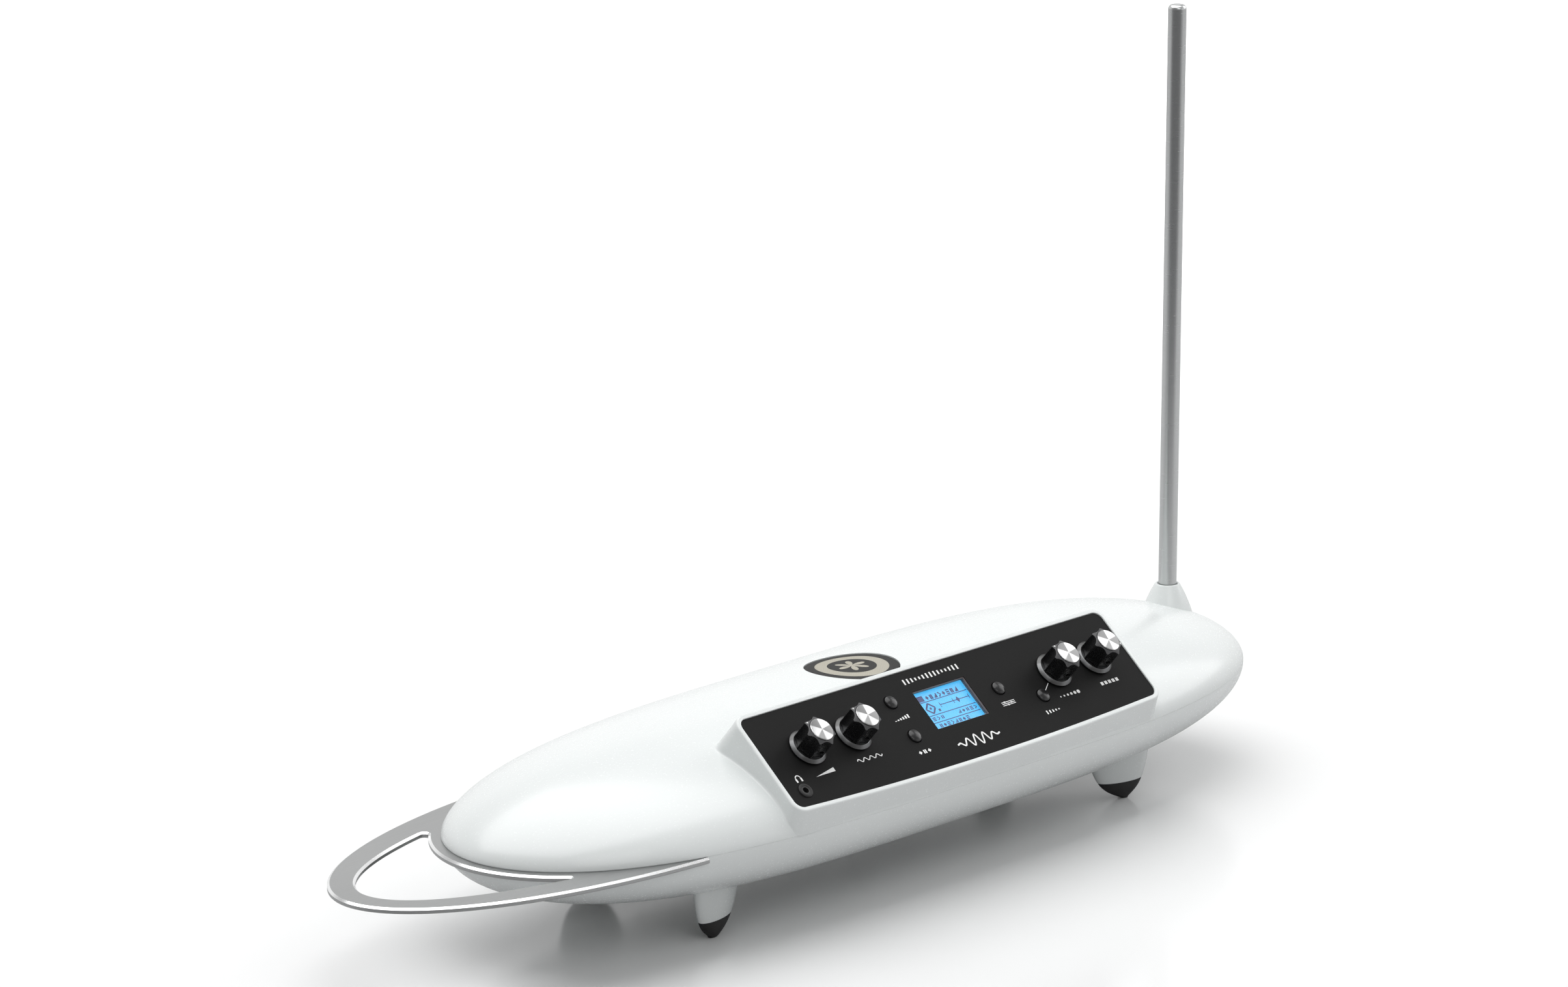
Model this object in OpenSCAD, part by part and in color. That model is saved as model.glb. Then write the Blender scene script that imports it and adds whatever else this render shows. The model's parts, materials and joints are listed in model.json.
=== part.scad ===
// Tabletop theremin: a long pod-shaped case with a raised control block, a flat
// volume antenna looped round its left nose and an upright pitch antenna rod.
// Millimetres, +Z up, the player stands at -Y. The origin is on the table,
// under the middle of the whole instrument's outer box.

/* [Body] */
// Length of the pod, without the volume antenna
body_len = 578; // [560:2:600]
// Depth of the pod, front to back
body_depth = 190; // [184:2:196]
// Height of the parting plane above the table
part_z = 60; // [58:1:62]
// Rise of the upper shell above the parting plane
dome_h = 41; // [39:1:42]
// Drop of the lower shell below the parting plane
belly_h = 43.6; // [40:0.2:44]
// Wall thickness of both shells
wall = 3; // [2.5:0.1:3.2]

/* [Control block] */
// Width of the black panel
panel_w = 283; // [281:0.5:285]
// Height of the black panel, along its slope, at its ends
panel_h = 57.6; // [56:0.2:58.4]
// Tilt of the panel from the table
panel_tilt = 40.3; // [39:0.1:41.5]
// Thickness of the panel plate
panel_t = 1.6; // [1.4:0.1:2]
// Visible width of the white rim round the panel
rim = 2.9; // [2.6:0.1:3.2]

/* [Controls] */
// Radius of a knob's skirt
skirt_r = 11; // [10:0.1:11.4]
// Height of a knob above the panel
knob_h = 17.3; // [16:0.1:18]
// Radius of a push button
button_r = 4.0; // [3.6:0.1:4.2]
// How far a push button travels
button_travel = 1; // [0.6:0.1:1.2]
// Width of the display window
window_w = 40.5; // [38:0.5:42]
// Height of the display window
window_h = 25.2; // [24:0.2:26]

/* [Antennas] */
// Reach of the volume antenna's tip from the middle of the pod
plate_reach = 374.5; // [370:0.5:378]
// Thickness of the volume antenna's sheet
plate_t = 3; // [2.8:0.1:3.4]
// Width of the open crescent's outer band at the tip
band_w = 14.5; // [13:0.5:16]
// Gap between the lower shell's outline and the crescent
nose_band = 6.3; // [6:0.1:8]
// Radius of the pitch antenna rod
rod_r = 5.2; // [5:0.05:5.3]
// Height of the pitch antenna's tip above the table
rod_top = 430.5; // [400:0.5:440]

/* [Hidden] */

eps = 0.05;

// The outer box runs from the volume antenna's tip to the pod's right end, and
// from the control block's front edge to the pod's back.
body_x = (plate_reach - body_len / 2) / 2;
block_front = 98.5;
body_y = (block_front - body_depth / 2) / 2;

// Pod: |x/a|^nose_exp + (y/b)^2 = u in plan; height falls as (1 - u)^power.
nose_exp = 3.53;
dome_pow = 0.562;
belly_pow = 0.478;
sides = 72;
rings = 9;

// Panel plane, from the middle of the pod at table height
panel_x = -4;
panel_y = -71;
panel_z = 94.5;
rim_proud = 0.6;
corner_r = 5;
bow = 3.7;
front_lean = 15;

// Layout on the panel plane, from its middle
knob_v = 2.4;
knob_u = [-110.9, -76.3, 82.3, 115.2];
button_at = [[-38, 13.3], [-38, -9.5], [38, 2.5], [64, -9.6]];
window_at = [0.6, 2.8];
phones_at = [-129.9, -20.3];
phones_bore_r = 1.8;
panel_post_at = [[-125, 18], [125, 18], [-98, -18], [98, -18]];

// Depths below the panel's face, and parts that stand on the panel board
board_drop = 13;
board_t = 1.6;
window_t = 1.2;
pot_w = 14;
pot_h = 7;
shaft_r = 3;
shaft_gap = 0.06;
switch_w = 6;
switch_h = 3.2;

// Knobs, from the panel's face up
body_r = 9.3;
cap_r = 6.85;
cap_t = 1.55;
cap_proud = 0.8;
cap_rim = 0.3;
knob_bevel = 1.2;
skirt_z = 1.1;
skirt_t = 2.1;
bore_top = 11.2;
lobes = 7;
flute_r = 7;
flute_floor = 7.6;

// Loudspeaker
speaker_y = 7;
speaker_z = 94;
grille_r = 26.3;
grille_z = 97.2;
grille_lip = 1.2;
coil_r = 7;

// Pitch antenna
rod_x = 255;
boss_top = 96;
socket_r = 7.9;
socket_foot = 68;
socket_floor = 71;
socket_h = 22.9;

// Volume antenna: its outer edge is a half ellipse whose straight end meets the pod
plate_cut = 200;
plate_a = 204.5;
plate_b = 83.3;
slot_b = 64.2;
slot_end = 272;
flange_in = 14;

// Legs
leg_x = 164;
leg_y = 47.8;
tip_h = 10.5;
leg_top = 46;
leg_foot = [2.4, 1.8];
leg_swell = [19.5, 5.8];
leg_blunt = 2.5;
leg_lean = [5, 1.2];
leg_yaw = 14;

// Rear pocket and its connectors
pocket_w = 160;
pocket_y = 72;
pocket_z = [62.5, 82.5];
pocket_wall = 2.5;
port_z = 72;
jack_x = [-44, -20, 4];
jack_bore_r = 3.25;
usb_x = 31;
inlet_x = 48;
switch_x = 64.5;
rocker_rest = -7;
rocker_pivot_y = -3;
trunnion_r = 1;

// Threaded insert for a stand, in the middle of the belly
insert_z = 17.2;
insert_h = 13.8;
insert_r = 10.9;
thread_r = 7.43;

// Posts and screws
screw_r = 1.5;
screw_seat = 46;
screw_head = 2.6;

screw_at = [[-243, -30], [-243, 30], [243, -30], [243, 30], [-115, 54], [115, 54]];
board_at = [[-95, -30], [95, -30], [-95, 40], [95, 40]];
board_z = 44;

// ---------- shared shapes ----------

module placed() translate([body_x, body_y, 0]) children();

module on_panel() placed() translate([panel_x, panel_y, panel_z]) rotate([panel_tilt, 0, 0]) children();

function plan_r(ang, a, b, lo = 0, hi = 1000, n = 40) =
  n == 0 ? lo :
  let (m = (lo + hi) / 2,
       u = pow(abs(m * cos(ang) / a), nose_exp) + pow(m * sin(ang) / b, 2))
  u > 1 ? plan_r(ang, a, b, lo, m, n - 1) : plan_r(ang, a, b, m, hi, n - 1);

function plan_pts(inset) =
  let (a = body_len / 2 - inset, b = body_depth / 2 - inset)
  [for (i = [0 : sides - 1])
    let (ang = atan2(b * sin(360 * i / sides), a * cos(360 * i / sides)), r = plan_r(ang, a, b))
    [r * cos(ang), r * sin(ang)]];

// A closed half pod: a flat base ring and rings that close to a tip.
module half_pod(inset, h, power, up) {
  a = body_len / 2 - inset;
  b = body_depth / 2 - inset;
  edge = plan_pts(inset);
  levels = [for (k = [0 : rings - 1]) cos(90 * k / rings)];
  ring_pts = [for (s = levels, p = edge)
    let (u = pow(abs(p.x * s / a), nose_exp) + pow(p.y * s / b, 2))
    [p.x * s, p.y * s, part_z + up * h * pow(max(0, 1 - u), power)]];
  tip = len(ring_pts);
  pts = concat(ring_pts, [[0, 0, part_z + up * h]]);
  base = [[for (i = [0 : sides - 1]) i]];
  walls = [for (k = [0 : rings - 2], i = [0 : sides - 1])
    let (j = (i + 1) % sides, p = k * sides, q = (k + 1) * sides)
    each [[p + i, q + i, q + j], [p + i, q + j, p + j]]];
  cap = [for (i = [0 : sides - 1])
    [(rings - 1) * sides + i, tip, (rings - 1) * sides + (i + 1) % sides]];
  faces = concat(base, walls, cap);
  polyhedron(pts, up > 0 ? faces : [for (f = faces) [for (i = [len(f) - 1 : -1 : 0]) f[i]]]);
}

module dome(inset) half_pod(inset, dome_h - inset, dome_pow, 1);
module belly(inset) half_pod(inset, belly_h - inset, belly_pow, -1);

// Rounded rectangle whose lower edge bows out by bow in its middle. Each lower
// corner's arc touches both the side and the bow's large circle.
module bowed(w, h, r) {
  bow_r = (pow(panel_w / 2, 2) + pow(bow, 2)) / (2 * bow);
  cx = w / 2 - r;
  bow_y = bow_r - h / 2 - bow;
  low_y = bow_y - sqrt(pow(bow_r - r, 2) - pow(cx, 2));
  phi = asin(cx / (bow_r - r));
  steps = 8;
  right = concat(
    [for (i = [0 : steps]) let (a = phi * i / steps) [bow_r * sin(a), bow_y - bow_r * cos(a)]],
    [for (i = [1 : steps]) let (a = (phi - 90) * (1 - i / steps)) [cx + r * cos(a), low_y + r * sin(a)]],
    [for (i = [0 : steps]) let (a = 90 * i / steps) [cx + r * cos(a), h / 2 - r + r * sin(a)]]);
  polygon(concat(right, [for (i = [len(right) - 1 : -1 : 1]) [-right[i].x, right[i].y]]));
}

// Panel outline, grown or shrunk all round
module panel_outline(grow, r) bowed(panel_w + 2 * grow, panel_h + 2 * grow, r);

// Raised block under the panel: square to the panel at its back and sides, and
// nearly upright at the front, where it runs down to the parting line.
module block(inset, top) {
  front_v = panel_h / 2 + bow + rim - inset;
  intersection() {
    placed() translate([-200, -150, part_z]) cube([400, 200, 100]);
    union() {
      on_panel() translate([0, 0, -70]) linear_extrude(70 + top) panel_outline(rim - inset, 7);
      intersection() {
        on_panel() translate([-200, -front_v - 40, -60]) cube([400, 80, 60 + top]);
        on_panel() translate([0, -front_v, 0]) rotate([front_lean - panel_tilt, 0, 0])
          translate([0, 20 + bow, -40]) linear_extrude(60) bowed(panel_w + 2 * (rim - inset), 40, 7);
      }
    }
  }
}

module post(at, z0, z1, r) placed() translate([at.x, at.y, z0]) cylinder(h = z1 - z0, r = r, $fn = 32);

// ---------- case ----------

module top_shell() color("white") difference() {
  union() {
    difference() {
      union() {
        placed() dome(0);
        block(0, rim_proud);
        placed() antenna_boss();
      }
      placed() translate([0, 0, -eps]) dome(wall);
      block(wall, -panel_t - 2);
    }
    intersection() {
      placed() dome(0);
      union() {
        post([0, speaker_y], speaker_z, 106, grille_r + 5);
        placed() translate([-pocket_w / 2 - pocket_wall, pocket_y - pocket_wall, part_z])
          cube([pocket_w + 2 * pocket_wall, 30, pocket_z[1] + pocket_wall - part_z]);
        for (s = screw_at) post(s, part_z, part_z + 30, 4.5);
        post([rod_x, 0], socket_foot, 93, 11);
      }
    }
  }
  on_panel() translate([0, 0, -panel_t]) linear_extrude(5) panel_outline(0.2, corner_r);
  on_panel() translate([0, 0, -12]) linear_extrude(14) panel_outline(-3, 3);
  post([0, speaker_y], speaker_z - 1, grille_z - 1.6, grille_r);
  post([0, speaker_y], speaker_z, 115, grille_r - grille_lip);
  post([0, speaker_y], grille_z, 115, grille_r);
  placed() translate([-pocket_w / 2, pocket_y, pocket_z[0]])
    cube([pocket_w, 40, pocket_z[1] - pocket_z[0]]);
  placed() translate([-pocket_w / 2 + 2, pocket_y - 4, pocket_z[0] + 1.5])
    cube([pocket_w - 4, 5, pocket_z[1] - pocket_z[0] - 3]);
  post([rod_x, 0], 67, 107, rod_r + 0.3);
  post([rod_x, 0], 67, socket_foot + socket_h + 0.1, socket_r + 0.1);
  for (s = screw_at) post(s, part_z - 1, part_z + 12, screw_r + eps);
}

// Flared foot of the pitch antenna, moulded with the upper shell.
module antenna_boss() translate([rod_x, 0, boss_top]) rotate_extrude($fn = 64)
  polygon([[0, -28], [17, -28], [16.5, -24], [14.5, -17], [12.2, -10.8], [9.8, -5.4],
           [7.6, -1.8], [5.9, 0], [0, 0]]);

module bottom_shell() color("white") difference() {
  union() {
    difference() {
      placed() belly(0);
      placed() translate([0, 0, eps]) belly(wall);
    }
    intersection() {
      placed() belly(0);
      union() {
        for (s = screw_at) post(s, 10, part_z, 6.5);
        for (s = board_at) post(s, 10, board_z, 4);
        post([0, 0], 10, 34, 14);
      }
    }
  }
  placed() translate([0, 0, part_z - plate_t]) linear_extrude(10) difference() {
    intersection() {
      polygon(plan_pts(-1));
      left_of_cut();
    }
    polygon(plan_pts(flange_in + 0.2));
  }
  for (s = screw_at) {
    post(s, 0, part_z + 1, screw_r + 0.2);
    post(s, 0, screw_seat, 3.6);
  }
  for (s = board_at) post(s, 24, board_z + 1, 1.2);
  post([0, 0], 0, insert_z + insert_h, insert_r + 0.1);
  post([0, 0], 30, 40, thread_r + 0.6);
}

// ---------- volume antenna ----------

module ellipse_2d(a, b) polygon([for (i = [0 : 95]) [a * cos(i * 3.75), b * sin(i * 3.75)]]);

module left_of_cut() translate([-400, -100]) square([400 - plate_cut, 200]);

module plate_2d() difference() {
  intersection() {
    translate([plate_a - plate_reach, 0]) ellipse_2d(plate_a, plate_b);
    left_of_cut();
  }
  difference() {
    translate([plate_a - plate_reach, 0]) ellipse_2d(plate_a - band_w, slot_b);
    polygon(plan_pts(-nose_band));
    translate([-slot_end, -100]) square([200, 200]);
  }
  polygon(plan_pts(flange_in));
}

module volume_antenna() color("silver") placed()
  translate([0, 0, part_z - plate_t]) linear_extrude(plate_t) plate_2d();

// ---------- control panel ----------

module control_panel() color("#282828") on_panel() difference() {
  union() {
    translate([0, 0, -panel_t]) linear_extrude(panel_t) panel_outline(0, corner_r);
    for (p = panel_post_at) translate([p.x, p.y, -board_drop]) cylinder(h = board_drop - 1, r = 3, $fn = 32);
  }
  for (p = panel_post_at) translate([p.x, p.y, -board_drop - 1]) cylinder(h = 9, r = 1.25, $fn = 24);
  for (u = knob_u) translate([u, knob_v, -5]) cylinder(h = 10, r = shaft_r + 0.8, $fn = 32);
  for (b = button_at) translate([b.x, b.y, -5]) cylinder(h = 10, r = button_r + 0.35, $fn = 32);
  translate([window_at.x, window_at.y, 0]) cube([window_w, window_h, 10], center = true);
  translate([phones_at.x, phones_at.y, -5]) cylinder(h = 10, r = 3.1, $fn = 32);
}

module display_window() color("#5ac8ff", 0.4) on_panel()
  translate([window_at.x, window_at.y, -panel_t - window_t / 2])
    cube([window_w + 4, window_h + 4, window_t], center = true);

// The module stands on the panel board, with its glass in a shallow recess
module display_module() color("#5ac8ff") on_panel() {
  top = -panel_t - window_t - 0.2;
  difference() {
    translate([window_at.x - 26, window_at.y - 17, -board_drop]) cube([52, 34, board_drop + top]);
    translate([window_at.x, window_at.y, top]) cube([window_w + 1, window_h + 1, 2], center = true);
  }
}

module panel_board() color("#1d5a2e") on_panel() difference() {
  translate([-134, -25, -board_drop - board_t]) cube([268, 50, board_t]);
  for (p = panel_post_at) translate([p.x, p.y, -board_drop - 4]) cylinder(h = 8, r = 1.6, $fn = 24);
}

module main_board() color("#1d5a2e") placed() difference() {
  translate([-105, -38, board_z]) cube([210, 86, board_t]);
  for (s = board_at) translate([s.x, s.y, board_z - 1]) cylinder(h = 4, r = 1.6, $fn = 24);
}

// ---------- rotary controls ----------

// A pot stands on the panel board; its collar ends just below the panel.
module pot(u) color("#777c80") on_panel() translate([u, knob_v, -board_drop]) difference() {
  union() {
    translate([-pot_w / 2, -pot_w / 2, 0]) cube([pot_w, pot_w, pot_h]);
    cylinder(h = board_drop - panel_t - 0.2, r = 3.5, $fn = 32);
  }
  translate([0, 0, 1.5]) cylinder(h = 20, r = shaft_r + shaft_gap, $fn = 32);
}

module volume_pot() pot(knob_u[0]);
module pitch_pot() pot(knob_u[1]);
module effect_pot() pot(knob_u[2]);
module preset_encoder() pot(knob_u[3]);

module shaft(u) color("silver") on_panel() translate([u, knob_v, 2 - board_drop])
  cylinder(h = board_drop - 2 + bore_top - eps, r = shaft_r, $fn = 32);

// Fluted black body, bevelled on top and hollow over the shaft, on a metal
// skirt, with a bright cap let into it
module knob_body(u) color("#111111") on_panel() translate([u, knob_v, 0]) difference() {
  body_top = knob_h - cap_proud;
  union() {
    translate([0, 0, skirt_z + skirt_t]) cylinder(h = body_top - knob_bevel - skirt_z - skirt_t, r = body_r, $fn = 48);
    translate([0, 0, body_top - knob_bevel]) cylinder(h = knob_bevel, r1 = body_r, r2 = cap_r + cap_rim, $fn = 48);
    translate([0, 0, skirt_z + 1.1]) cylinder(h = 1, r = 7, $fn = 48);
  }
  for (i = [1 : lobes]) rotate(360 * i / lobes)
    translate([flute_floor + flute_r, 0, 0]) cylinder(h = knob_h, r = flute_r, $fn = 48);
  cylinder(h = bore_top, r = shaft_r + eps, $fn = 32);
  translate([0, 0, knob_h - cap_t - eps]) cylinder(h = 5, r = cap_r + eps, $fn = 48);
  translate([0, 0, 7]) rotate([90, 0, 0]) cylinder(h = 12, r = 1.1, $fn = 24);
}

module knob_skirt(u) color("#8f9397") on_panel() translate([u, knob_v, skirt_z]) rotate_extrude($fn = 64)
  polygon([[7.05, 0], [skirt_r, 0], [skirt_r, 0.6], [9.4, skirt_t], [7.05, skirt_t]]);

module knob_cap(u) color("gainsboro") on_panel() translate([u, knob_v, knob_h - cap_t])
  cylinder(h = cap_t, r = cap_r, $fn = 64);

module volume_knob() knob_body(knob_u[0]);
module volume_knob_skirt() knob_skirt(knob_u[0]);
module volume_knob_cap() knob_cap(knob_u[0]);
module volume_shaft() shaft(knob_u[0]);
module pitch_knob() knob_body(knob_u[1]);
module pitch_knob_skirt() knob_skirt(knob_u[1]);
module pitch_knob_cap() knob_cap(knob_u[1]);
module pitch_shaft() shaft(knob_u[1]);
module effect_knob() knob_body(knob_u[2]);
module effect_knob_skirt() knob_skirt(knob_u[2]);
module effect_knob_cap() knob_cap(knob_u[2]);
module effect_shaft() shaft(knob_u[2]);
module preset_knob() knob_body(knob_u[3]);
module preset_knob_skirt() knob_skirt(knob_u[3]);
module preset_knob_cap() knob_cap(knob_u[3]);
module preset_shaft() shaft(knob_u[3]);

// ---------- push buttons ----------

// Domed head, a collar that keeps it behind the panel, and a stem that stops
// one stroke and a little above its switch
module button(i) color("#303030") on_panel() translate([button_at[i].x, button_at[i].y, 0])
  rotate_extrude($fn = 48) let (foot = switch_h - board_drop + button_travel + 0.2) polygon([
    [0, foot], [1.6, foot], [1.6, -4.2], [button_r + 1, -4.2], [button_r + 1, -2.2],
    [button_r, -2.2], [button_r, 0.5], [button_r * 0.82, 1.3], [button_r * 0.45, 1.85], [0, 2]]);

module scale_button() button(0);
module root_button() button(1);
module setup_button() button(2);
module delay_button() button(3);

module tact_switches() color("#55585c") on_panel() for (b = button_at)
  translate([b.x - switch_w / 2, b.y - switch_w / 2, -board_drop]) cube([switch_w, switch_w, switch_h]);

// ---------- sockets on the panel and the back ----------

module headphone_socket() color("#202020") on_panel() translate([phones_at.x, phones_at.y, 0]) difference() {
  union() {
    translate([-4, -4, -board_drop]) cube([8, 6, 10.8]);
    translate([0, 0, -3]) cylinder(h = 3.2, r = 2.95, $fn = 48);
    translate([0, 0, 0.02]) cylinder(h = 0.6, r = 4.15, $fn = 48);
  }
  translate([0, 0, 1 - board_drop]) cylinder(h = 20, r = phones_bore_r, $fn = 32);
}

// Places something at a port of the rear panel, with +Z out of the panel
module port(x) placed() translate([x, pocket_y, port_z]) rotate([-90, 0, 0]) children();

// Body behind the rear panel, threaded bush through it, and a nut
module quarter_inch_socket(x) port(x) difference() {
  union() {
    translate([-8, -8, -24]) cube([16, 15, 19.4]);
    translate([0, 0, -5]) cylinder(h = 8, r = 4.7, $fn = 48);
    translate([0, 0, 0.05]) cylinder(h = 1.8, r = 6.4, $fn = 6);
  }
  translate([0, 0, -22]) cylinder(h = 40, r = jack_bore_r, $fn = 48);
}

module line_sockets() color("#9a9da0") {
  quarter_inch_socket(jack_x[0]);
  quarter_inch_socket(jack_x[1]);
}

module pitch_out_socket() color("#9a9da0") quarter_inch_socket(jack_x[2]);

// Fills the opening at the bottom of the pocket; its wider back edge rests behind the shell's wall
module rear_panel() color("#202020") difference() {
  union() {
    port(0) translate([-pocket_w / 2 + 2.2, -8.8, -2.6]) cube([pocket_w - 4.4, 16.6, 2.6]);
    port(0) translate([-pocket_w / 2 + 0.5, -10, -4.3]) cube([pocket_w - 1, 19, 1.75]);
  }
  for (x = jack_x) port(x) translate([0, 0, -10]) cylinder(h = 20, r = 4.8, $fn = 48);
  port(usb_x) translate([-6.3, -5.8, -5]) cube([12.6, 11.6, 10]);
  port(inlet_x) translate([0, 0, -10]) cylinder(h = 20, r = 4.7, $fn = 48);
  port(switch_x) translate([-6.7, -6.7, -5]) cube([13.4, 13.4, 10]);
}

// Square data socket: a metal shell round a plug-shaped opening and its tongue
module usb_socket() color("silver") port(usb_x) {
  difference() {
    translate([-6.2, -5.6, -16]) cube([12.4, 11.2, 16.4]);
    translate([-5.4, -4.8, -14]) cube([10.8, 9.6, 20]);
  }
  translate([-3, -1.5, -14.5]) cube([6, 3, 9]);
}

module power_inlet() color("#181818") port(inlet_x) {
  difference() {
    translate([0, 0, -13]) cylinder(h = 15.4, r = 4.6, $fn = 48);
    translate([0, 0, -9]) cylinder(h = 20, r = 2.9, $fn = 48);
  }
  translate([0, 0, -10]) cylinder(h = 10, r = 1.05, $fn = 24);
}

module power_switch_body() color("#181818") difference() {
  union() {
    port(switch_x) translate([-6.6, -6.6, -15]) cube([13.2, 13.2, 15.1]);
    port(switch_x) translate([-7.4, -7.4, 0.05]) cube([14.8, 14.8, 1.4]);
  }
  port(switch_x) translate([-5, -5.6, -10]) cube([10, 11.2, 20]);
  rocker_axis() cylinder(h = 11.8, r = trunnion_r + 0.05, center = true, $fn = 24);
}

module rocker_axis() placed() translate([switch_x, pocket_y + rocker_pivot_y, port_z])
  rotate([0, 90, 0]) children();

module power_rocker() color("#303030") rocker_axis() rotate(rocker_rest) {
  linear_extrude(9.2, center = true)
    polygon([[-4.2, -1.5], [0, -3.2], [4.2, -1.5], [4.2, 5.6], [0, 4], [-4.2, 5.6]]);
  cylinder(h = 11.4, r = trunnion_r, center = true, $fn = 24);
}

// ---------- loudspeaker ----------

module speaker_frame() color("#3a3d40") placed() translate([0, speaker_y, speaker_z]) {
  difference() {
    union() {
      translate([0, 0, -2]) cylinder(h = 2, r = grille_r + 4.5, $fn = 64);
      translate([0, 0, -14]) cylinder(h = 13, r1 = 16, r2 = 24.5, $fn = 64);
    }
    translate([0, 0, -12.5]) cylinder(h = 13, r1 = 14.6, r2 = 23.4, $fn = 64);
    translate([0, 0, -1]) cylinder(h = 5, r = 23.4, $fn = 64);
    translate([0, 0, -20]) cylinder(h = 20, r = coil_r + 0.5, $fn = 48);
  }
  translate([0, 0, -26]) difference() {
    cylinder(h = 12, r = 18, $fn = 64);
    translate([0, 0, 3]) cylinder(h = 20, r = coil_r + 0.5, $fn = 48);
  }
}

module speaker_surround() color("#202020") placed() translate([0, speaker_y, speaker_z])
  rotate_extrude($fn = 64)
    polygon([[21.8, 0.1], [24.6, 0.1], [24.6, 0.9], [23.3, 1.9], [22.2, 1.3], [21.8, 0.9]]);

module speaker_cone() color("#26282a") placed() translate([0, speaker_y, speaker_z]) rotate_extrude($fn = 64)
  polygon([[0, -8.6], [coil_r - 0.4, -9.8], [coil_r - 0.4, -20], [coil_r, -20], [coil_r, -9.4], [21.4, -0.6],
           [21.4, 0.2], [6.8, -8.4], [4, -6.6], [0, -6]]);

module speaker_grille() color("#3a3a36") placed() translate([0, speaker_y, grille_z]) rotate_extrude($fn = 72)
  polygon([[0, 1], [10, 0.9], [18, 0.5], [grille_r - 1.3, 0.02], [grille_r - 0.1, 0.02], [grille_r - 0.1, 1],
           [18, 1.9], [10, 2.5], [0, 2.7]]);

// ---------- pitch antenna, stand insert ----------

module antenna_socket() color("goldenrod") placed() translate([rod_x, 0, 0]) difference() {
  union() {
    translate([0, 0, socket_foot]) cylinder(h = socket_h, r = socket_r, $fn = 48);
    translate([0, 0, socket_foot - 2]) cylinder(h = 1.95, r = 11, $fn = 48);
    translate([0, 0, socket_foot - 1]) cylinder(h = 2, r = socket_r, $fn = 48);
  }
  translate([0, 0, socket_floor]) cylinder(h = 30, r = rod_r + 0.08, $fn = 48);
}

module pitch_antenna() color("gainsboro") placed() translate([rod_x, 0, 0]) rotate_extrude($fn = 48)
  let (foot = socket_floor + 0.1) polygon([
    [0, foot], [rod_r - 0.6, foot], [rod_r, foot + 0.6], [rod_r, rod_top - 2.2],
    [rod_r - 0.7, rod_top - 0.8], [rod_r - 2.2, rod_top], [0, rod_top]]);

module stand_insert() color("silver") placed() translate([0, 0, insert_z]) difference() {
  cylinder(h = insert_h, r = insert_r, $fn = 48);
  translate([0, 0, -5]) cylinder(h = 30, r = thread_r, $fn = 48);
}

// ---------- legs ----------

// A leg is a stack of ovals that swell quickly from its rounded tip and lean in
// under the pod as they rise. Its long axis points nearly along the pod, and
// swells later than the short one, within leg_blunt of the table.
function leg_ring(z, sx, sy) =
  let (t = min(1, z / leg_top), k = sqrt(1 - pow(1 - t, 2)))
  [for (i = [0 : 23])
    let (a = 15 * i * sx * sy,
         p = (leg_foot.x + leg_swell.x * k * (1 - exp(-z / leg_blunt))) * cos(a),
         q = (leg_foot.y + leg_swell.y * k) * sin(a))
    [-sx * (leg_lean.x * k + p * cos(leg_yaw) - q * sin(leg_yaw)),
     -sy * (leg_lean.y * k + p * sin(leg_yaw) + q * cos(leg_yaw)), z]];

module leg_solid(i, z0, z1) {
  sx = i % 2 == 0 ? -1 : 1;
  sy = i < 2 ? -1 : 1;
  levels = 7;
  ring_pts = [for (k = [0 : levels]) each leg_ring(z0 + (z1 - z0) * pow(k / levels, 1.5), sx, sy)];
  bottom = [[for (n = [23 : -1 : 0]) n]];
  top = [[for (n = [0 : 23]) levels * 24 + n]];
  walls = [for (k = [0 : levels - 1], n = [0 : 23])
    let (m = (n + 1) % 24, p = k * 24, q = p + 24)
    each [[p + n, p + m, q + m], [p + n, q + m, q + n]]];
  placed() translate([sx * leg_x, sy * leg_y, 0])
    polyhedron(ring_pts, [for (f = concat(bottom, walls, top)) [for (n = [len(f) - 1 : -1 : 0]) f[n]]]);
}

module leg(i) color("white") difference() {
  leg_solid(i, tip_h, leg_top);
  placed() belly(0);
}

module foot(i) color("#1c1c1c") leg_solid(i, 0, tip_h);

module leg_1() leg(0);
module leg_2() leg(1);
module leg_3() leg(2);
module leg_4() leg(3);
module foot_1() foot(0);
module foot_2() foot(1);
module foot_3() foot(2);
module foot_4() foot(3);

// ---------- fasteners ----------

module screw(head_r, head_h, r, len) {
  cylinder(h = head_h, r = head_r, $fn = 32);
  cylinder(h = len, r = r, $fn = 24);
}

module case_screws() color("#4a4d50") placed() for (s = screw_at)
  translate([s.x, s.y, screw_seat - screw_head]) screw(3.2, screw_head, screw_r, 26);

module panel_screws() color("#4a4d50") on_panel() for (p = panel_post_at)
  translate([p.x, p.y, -board_drop - board_t - 1.8]) screw(2.4, 1.8, 1.2, 10);

module board_screws() color("#4a4d50") placed() for (s = board_at)
  translate([s.x, s.y, board_z + board_t + 2]) rotate([180, 0, 0]) screw(2.6, 2, 1.15, 12);

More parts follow.
